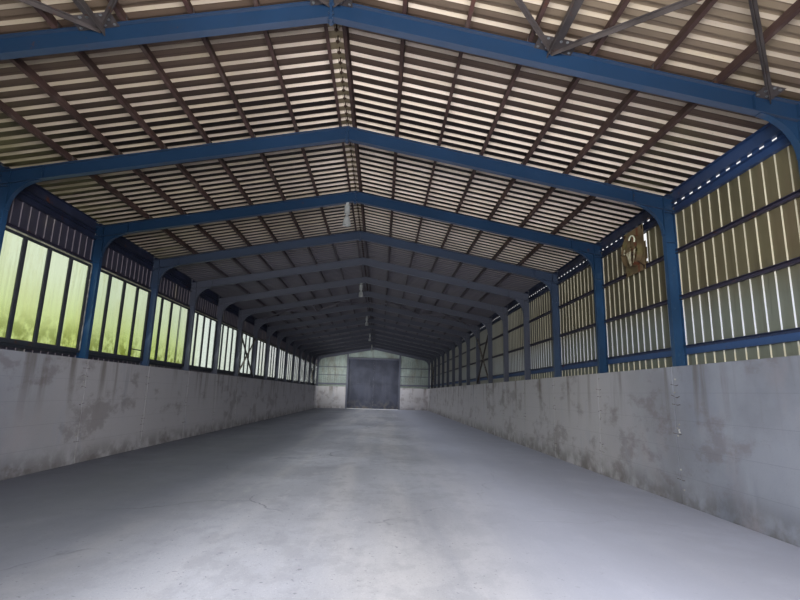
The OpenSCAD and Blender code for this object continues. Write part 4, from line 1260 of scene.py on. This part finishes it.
def meeting_seal(low, high):
    """Strip that closes the gap between the rear leaves, fixed to the edge of the left one"""
    left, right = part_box("rear_leaf_left"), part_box("rear_leaf_right")
    gap, depth = right[0].x - left[1].x, 0.012
    seal = chamfered(gap - 0.0008, depth, high - low, 0.0005)
    return seal, [at(left[1].x + gap / 2 - 0.0002, (left[0].y + left[1].y) / 2, (low + high) / 2)]


def leaf_pull(x, skin, out, middle):
    """Bent bar that a hand pulls, standing off the skin of a leaf"""
    stand_off, half, bend, radius = 0.022, 0.060, 0.015, 0.005
    spots = [(0.003, -half), (stand_off, bend - half), (stand_off, half - bend), (0.003, half)]
    return swept([(x, skin - out * away, middle + up) for away, up in spots], radius, 10)


class HALL_OT_leaf_fittings(bpy.types.Operator):
    """Diagonal flats in the panels of each leaf and a pull on a plate, with their rivets"""
    bl_idname = "hall.leaf_fittings"
    bl_label = "Leaf fittings"
    bl_options = {"REGISTER", "UNDO"}

    def execute(self, context):
        for node, body in (("rear_leaf_left", "rear_leaf_left"), ("rear_leaf_right", "rear_leaf_right"),
                           ("front_leaf_left", ROOT), ("front_leaf_right", ROOT)):
            self.fit_leaf(node, body)
        return {"FINISHED"}

    def fit_leaf(self, node, body):
        s = sizes()
        tube, leaf_deep, sheet_back = 0.050, 0.034, 0.005
        low, high = FLOOR_TOP + s.leaf_low, FLOOR_TOP + s.leaf_high
        a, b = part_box(node)
        out = 1 if b.y > 0 else -1
        skin = (a.y if out > 0 else b.y) + out * (leaf_deep - sheet_back)
        panel_high, panel_wide = (high - low - 3 * tube) / 2, b.x - a.x - 2 * tube
        lean = math.atan2(panel_high, panel_wide)
        flat = chamfered(math.hypot(panel_high, panel_wide) - 0.055, 0.004, 0.030, 0.001)
        inset = 0.02
        parts, rivets = [], []
        for k in (0, 1):
            foot = low + tube + k * (panel_high + tube)
            for flip, under_it in ((-1, 0.003), (1, 0.0075)):
                turn = Matrix.Rotation(-lean * flip, 3, "Y")
                place = at((a.x + b.x) / 2, skin - out * under_it, foot + panel_high / 2, turn)
                parts.append((flat, [place]))
            for x in (a.x + tube + inset, b.x - tube - inset):
                for z in (foot + inset, foot + panel_high - inset):
                    rivets.append(at(x, skin, z, facing((0, -out, 0))))
        x = a.x + tube + 0.06 if abs(a.x) < abs(b.x) else b.x - tube - 0.06
        plate = chamfered(0.070, 0.004, 0.180, 0.0015)
        parts.append((plate, [at(x, skin - out * 0.0022, FLOOR_TOP + s.pull)]))
        parts.append((leaf_pull(x, skin, out, FLOOR_TOP + s.pull), HERE))
        if node == "rear_leaf_left":
            parts.append(meeting_seal(low, high))
        add_piece(node + "_braces", parts, "door_steel", body)
        add_piece(node + "_rivets", [(bolt(0.005), rivets)], "zinc", body)


class HALL_OT_lamp_fittings(bpy.types.Operator):
    """Opal bulb inside each reflector and cooling fins on its housing"""
    bl_idname = "hall.lamp_fittings"
    bl_label = "Lamp fittings"
    bl_options = {"REGISTER", "UNDO"}

    def execute(self, context):
        s = sizes()
        x, rim = -s.lamp_aside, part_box("lamps")[0].z
        housing, fin_step, fins_each = 0.164, 0.014, 6
        bulb = turned([(0.004, 0.002), (0.020, 0.010), (0.030, 0.030), (0.030, 0.050), (0.020, 0.072),
                       (0.012, 0.090)], 24)
        inner, outer, half = 0.0332, 0.0365, 0.0012
        fin = turned([(inner, -half), (outer, -half), (outer, half), (inner, half)], 24)
        places = [frame_y(j) for j in range(1, s.bays, 3)]
        bulbs = [at(x, y, rim) for y in places]
        fins = [at(x, y, rim + housing + fin_step * k) for y in places for k in range(fins_each)]
        add_piece("lamp_bulbs", [(bulb, bulbs)], "bulb", round_edges=True)
        add_piece("lamp_fins", [(fin, fins)], "lamp_metal", round_edges=True)
        return {"FINISHED"}


def half_closed_shutter(y, z):
    """Slats between two rails behind the ventilator, and torn flashing beside them, as parts of a piece"""
    behind = RAIL_IN + 0.0008
    slat_step, slat_low = 0.050, -0.150
    slat = chamfered(0.004, 0.236, 0.064, 0.001)
    lean = Matrix.Rotation(math.radians(-20), 3, "Y")
    slats = [at(behind + 0.020, y + 0.057, z + slat_low + slat_step * k, lean) for k in range(7)]
    rail = chamfered(0.030, 0.010, 0.376, 0.002)
    rails = [at(behind + 0.0155, y + side, z + 0.002) for side in (-0.066, 0.180)]
    parts = [(slat, slats), (rail, rails)]
    torn_to = -0.070
    for edge, low, high in ((-0.189, -0.186, -0.150), (-0.164, -0.150, -0.125), (-0.189, -0.125, 0.0),
                            (-0.172, 0.0, 0.072), (-0.140, 0.072, 0.190)):
        torn = chamfered(0.002, torn_to - edge, high - low, 0.0005)
        parts.append((torn, [at(behind + 0.030, y + (edge + torn_to) / 2, z + (low + high) / 2)]))
    return parts


def bow_and_bracket(front, y, z):
    """Bent bow, two arms and an end plate on the front of the ventilator's motor, as parts of a piece"""
    bow_y, bow_z, radius = y - 0.080, z + 0.086, 0.058
    bow = swept([(front, bow_y - radius * math.cos(a), bow_z + radius * math.sin(a))
                 for a in map(math.radians, range(-25, 160, 15))], 0.0075)
    thick, foot = 0.003, -0.014
    wide_arm = extruded([(-0.046, -0.165), (-0.020, -0.168), (0.050, foot), (-0.046, foot)], thick)
    slim_arm = extruded([(-0.100, -0.138), (-0.086, -0.148), (-0.106, foot), (-0.140, foot)], thick)
    across = Matrix(((0, -1, 0), (1, 0, 0), (0, 0, 1)))
    arms = [at(front + 0.001, y, z, across)]
    end = chamfered(0.004, 0.026, 0.060, 0.001)
    return [(bow, HERE), (wide_arm, arms), (slim_arm, arms), (end, [at(front, y + 0.080, z + 0.008)])]


class HALL_OT_ventilator_fittings(bpy.types.Operator):
    """Shutter and torn flashing behind the wall ventilator, its bow, bracket, box, cable and bolts"""
    bl_idname = "hall.ventilator_fittings"
    bl_label = "Ventilator fittings"
    bl_options = {"REGISTER", "UNDO"}

    def execute(self, context):
        y, z = frame_y(3) + sizes().vent_along, FLOOR_TOP + sizes().vent_middle
        plate_in = RAIL_IN - 0.0062
        motor_end = plate_in - 0.060
        add_piece("ventilator_shutter", half_closed_shutter(y, z), "vent_metal")
        inward = facing((-1, 0, 0))
        bolts = [at(plate_in, y + dy, z + dz, inward)
                 for dy in (-0.182, 0.182) for dz in (-0.220, -0.200, 0.200, 0.220)]
        bolts += [at(motor_end, y + dy, z, inward) for dy in (-0.155, -0.07, 0.07, 0.155)]
        add_piece("ventilator_bolts", [(bolt(0.007), bolts)], "brown_bolt")
        box = chamfered(0.034, 0.046, 0.040, 0.004)
        bends = [(motor_end + 0.02, y - 0.062, z - 0.055), (motor_end, y - 0.080, z - 0.10),
                 (plate_in - 0.012, y - 0.120, z - 0.150), (plate_in - 0.006, y - 0.170, z - 0.190),
                 (plate_in - 0.006, y - 0.184, z - 0.232)]
        parts = [(box, [at(motor_end + 0.022, y - 0.045, z - 0.040)]), (swept(bends, 0.005), HERE)]
        add_piece("ventilator_cable", parts, "brown_bolt")
        add_piece("ventilator_bracket", bow_and_bracket(motor_end - 0.002, y, z), "worn_cream",
                  round_edges=True)
        return {"FINISHED"}


# Studio: where the eye stands, in metres and degrees, and the lens in millimetres
CAMERA = {"x": 0.3894, "y": -13.217, "height": 0.850, "yaw": 2.012, "pitch": 10.885, "roll": 1.506,
          "lens": 21.91}


def make_camera():
    """Camera at the eye of someone just inside the front doorway"""
    yaw, pitch, roll = (math.radians(CAMERA[k]) for k in ("yaw", "pitch", "roll"))
    ahead = Vector((math.sin(yaw) * math.cos(pitch), math.cos(yaw) * math.cos(pitch), math.sin(pitch)))
    right = Vector((math.cos(yaw), -math.sin(yaw), 0))
    up = right.cross(ahead)
    right, up = math.cos(roll) * right + math.sin(roll) * up, math.cos(roll) * up - math.sin(roll) * right
    data = bpy.data.cameras.new("camera")
    data.lens, data.sensor_width = CAMERA["lens"], 36.0
    data.clip_start, data.clip_end = 0.02, 300.0
    camera = bpy.data.objects.new("camera", data)
    camera.matrix_world = at(CAMERA["x"], CAMERA["y"], FLOOR_TOP + CAMERA["height"],
                             Matrix((right, up, -ahead)).transposed())
    bpy.context.scene.collection.objects.link(camera)
    bpy.context.scene.camera = camera


def make_area_light(name, spot, ahead, wide, high, radiance, colour=(1, 1, 1), spread=180):
    """A soft panel of light that no camera sees; radiance is how bright its face is, where 1 is white"""
    data = bpy.data.lights.new(name, "AREA")
    data.shape, data.size, data.size_y = "RECTANGLE", wide, high
    data.energy = radiance * math.pi * wide * high
    data.color = colour
    data.spread = math.radians(spread)
    light = bpy.data.objects.new(name, data)
    light.matrix_world = at(*spot, facing(tuple(-c for c in ahead)))
    light.visible_camera = light.visible_glossy = light.visible_transmission = False
    bpy.context.scene.collection.objects.link(light)


def make_world():
    """Even daylight, and plain white wherever the background shows"""
    world = bpy.data.worlds.new("daylight")
    world.use_nodes = True
    tree = world.node_tree
    tree.nodes.clear()

    def greater(a, b):
        larger = tree.nodes.new("ShaderNodeMath")
        larger.operation = "MAXIMUM"
        tree.links.new(a, larger.inputs[0])
        tree.links.new(b, larger.inputs[1])
        return larger.outputs[0]

    def background(colour, strength):
        light = tree.nodes.new("ShaderNodeBackground")
        light.inputs["Color"].default_value = colour
        light.inputs["Strength"].default_value = strength
        return light.outputs[0]

    path = tree.nodes.new("ShaderNodeLightPath").outputs
    seen = greater(path["Is Camera Ray"], greater(path["Is Glossy Ray"], path["Is Transmission Ray"]))
    blend, out = tree.nodes.new("ShaderNodeMixShader"), tree.nodes.new("ShaderNodeOutputWorld")
    tree.links.new(seen, blend.inputs[0])
    tree.links.new(background((0.93, 0.97, 1.0, 1.0), 0.85), blend.inputs[1])
    tree.links.new(background((1.0, 1.0, 1.0, 1.0), 1.0), blend.inputs[2])
    tree.links.new(blend.outputs[0], out.inputs["Surface"])
    bpy.context.scene.world = world


def make_stage_floor():
    """Wide pale floor that the hall stands on"""
    data = bpy.data.meshes.new("stage_floor")
    half = 90.0
    corners = [(-half, -half, 0), (half, -half, 0), (half, half, 0), (-half, half, 0)]
    data.from_pydata(corners, [], [(0, 1, 2, 3)])
    floor = bpy.data.objects.new("stage_floor", data)
    floor.location.z = -0.002
    bpy.context.scene.collection.objects.link(floor)
    pale = bpy.data.materials.new("stage_pale")
    pale.use_nodes = True
    shader = pale.node_tree.nodes["Principled BSDF"]
    shader.inputs["Base Color"].default_value = (0.78, 0.78, 0.77, 1.0)
    shader.inputs["Roughness"].default_value = 0.9
    data.materials.append(pale)


class HALL_OT_studio(bpy.types.Operator):
    """Camera, daylight, floor and the soft panels"""
    bl_idname = "hall.studio"
    bl_label = "Studio"
    bl_options = {"REGISTER", "UNDO"}

    def execute(self, context):
        make_camera()
        make_world()
        make_stage_floor()
        up = FLOOR_TOP
        doorway = -GABLE_IN - 0.02
        length = 2 * GABLE_IN - 0.6
        beside_windows = 0.03 - COLUMN_IN
        cool = (0.97, 0.98, 1.0)
        make_area_light("doorway_light", (0.4, doorway, up + 1.65), (0, 1, 0), 1.9, 1.6, 21.5,
                        (0.98, 0.98, 0.99))
        make_area_light("window_light", (beside_windows, 0, up + 1.75), (1, 0, -0.45), length, 0.95, 0.75,
                        (0.97, 1.0, 0.9))
        make_area_light("floor_light", (0, 0, up + 2.52), (0, 0, -1), 3.0, length, 0.6,
                        (0.92, 0.95, 1.0), 120)
        make_area_light("near_floor_light", (0.25, -11.4, up + 2.45), (0, 0, -1), 1.2, 3.6, 0.6,
                        (1.0, 0.98, 1.0), 80)
        make_area_light("end_light_left", (-2.0, 12.4, up + 1.75), (0.1, 1, -0.1), 1.6, 1.0, 1.9,
                        (0.97, 1.0, 0.98))
        make_area_light("end_light_right", (2.1, 12.4, up + 1.45), (0, 1, -0.2), 1.3, 0.5, 1.5, cool)
        make_area_light("door_light", (0, 12.2, up + 1.5), (0, 1, 0), 2.4, 2.2, 1.4, cool)
        make_area_light("far_wall_light", (-2.3, 8.5, up + 1.7), (1, 0, 0), 8.0, 0.8, 0.9, (0.98, 1.0, 0.98))
        make_area_light("outside_key", (-14, -22, 18), (14, 20, -16), 14, 14, 3.0)
        make_area_light("outside_fill", (20, 16, 12), (-20, -14, -10), 14, 14, 1.6)
        return {"FINISHED"}


OPERATORS = [
    HALL_OT_finish_solids,
    HALL_OT_frame_bolts,
    HALL_OT_stiffeners,
    HALL_OT_purlin_cleats,
    HALL_OT_brace_bolts,
    HALL_OT_sheet_screws,
    HALL_OT_rail_nuts,
    HALL_OT_eave_closures,
    HALL_OT_rafter_caps,
    HALL_OT_ridge_pieces,
    HALL_OT_window_beads,
    HALL_OT_dado_ties,
    HALL_OT_leaf_fittings,
    HALL_OT_lamp_fittings,
    HALL_OT_ventilator_fittings,
    HALL_OT_studio,
]


class HALL_PT_sidebar(bpy.types.Panel):
    """Lists the steps, sizes and colours of the hall"""
    bl_label = "Portal frame hall"
    bl_idname = "HALL_PT_sidebar"
    bl_space_type = "VIEW_3D"
    bl_region_type = "UI"
    bl_category = "Hall"

    def draw(self, context):
        for operator in OPERATORS:
            self.layout.operator(operator.bl_idname)
        for group in (context.scene.hall_sizes, context.scene.hall_colours):
            column = self.layout.column()
            for name in group.__annotations__:
                column.prop(group, name)


CLASSES = [HallSizes, HallColours, *OPERATORS, HALL_PT_sidebar]


def register():
    for cls in CLASSES:
        bpy.utils.register_class(cls)
    bpy.types.Scene.hall_sizes = bpy.props.PointerProperty(type=HallSizes)
    bpy.types.Scene.hall_colours = bpy.props.PointerProperty(type=HallColours)


def unregister():
    del bpy.types.Scene.hall_sizes
    del bpy.types.Scene.hall_colours
    for cls in reversed(CLASSES):
        bpy.utils.unregister_class(cls)


def main():
    """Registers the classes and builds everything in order"""
    register()
    bpy.context.scene.view_settings.view_transform = "Standard"
    for operator in OPERATORS:
        step = operator.bl_idname.split(".")[1]
        getattr(bpy.ops.hall, step)()
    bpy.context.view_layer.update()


if __name__ == "__main__":
    main()
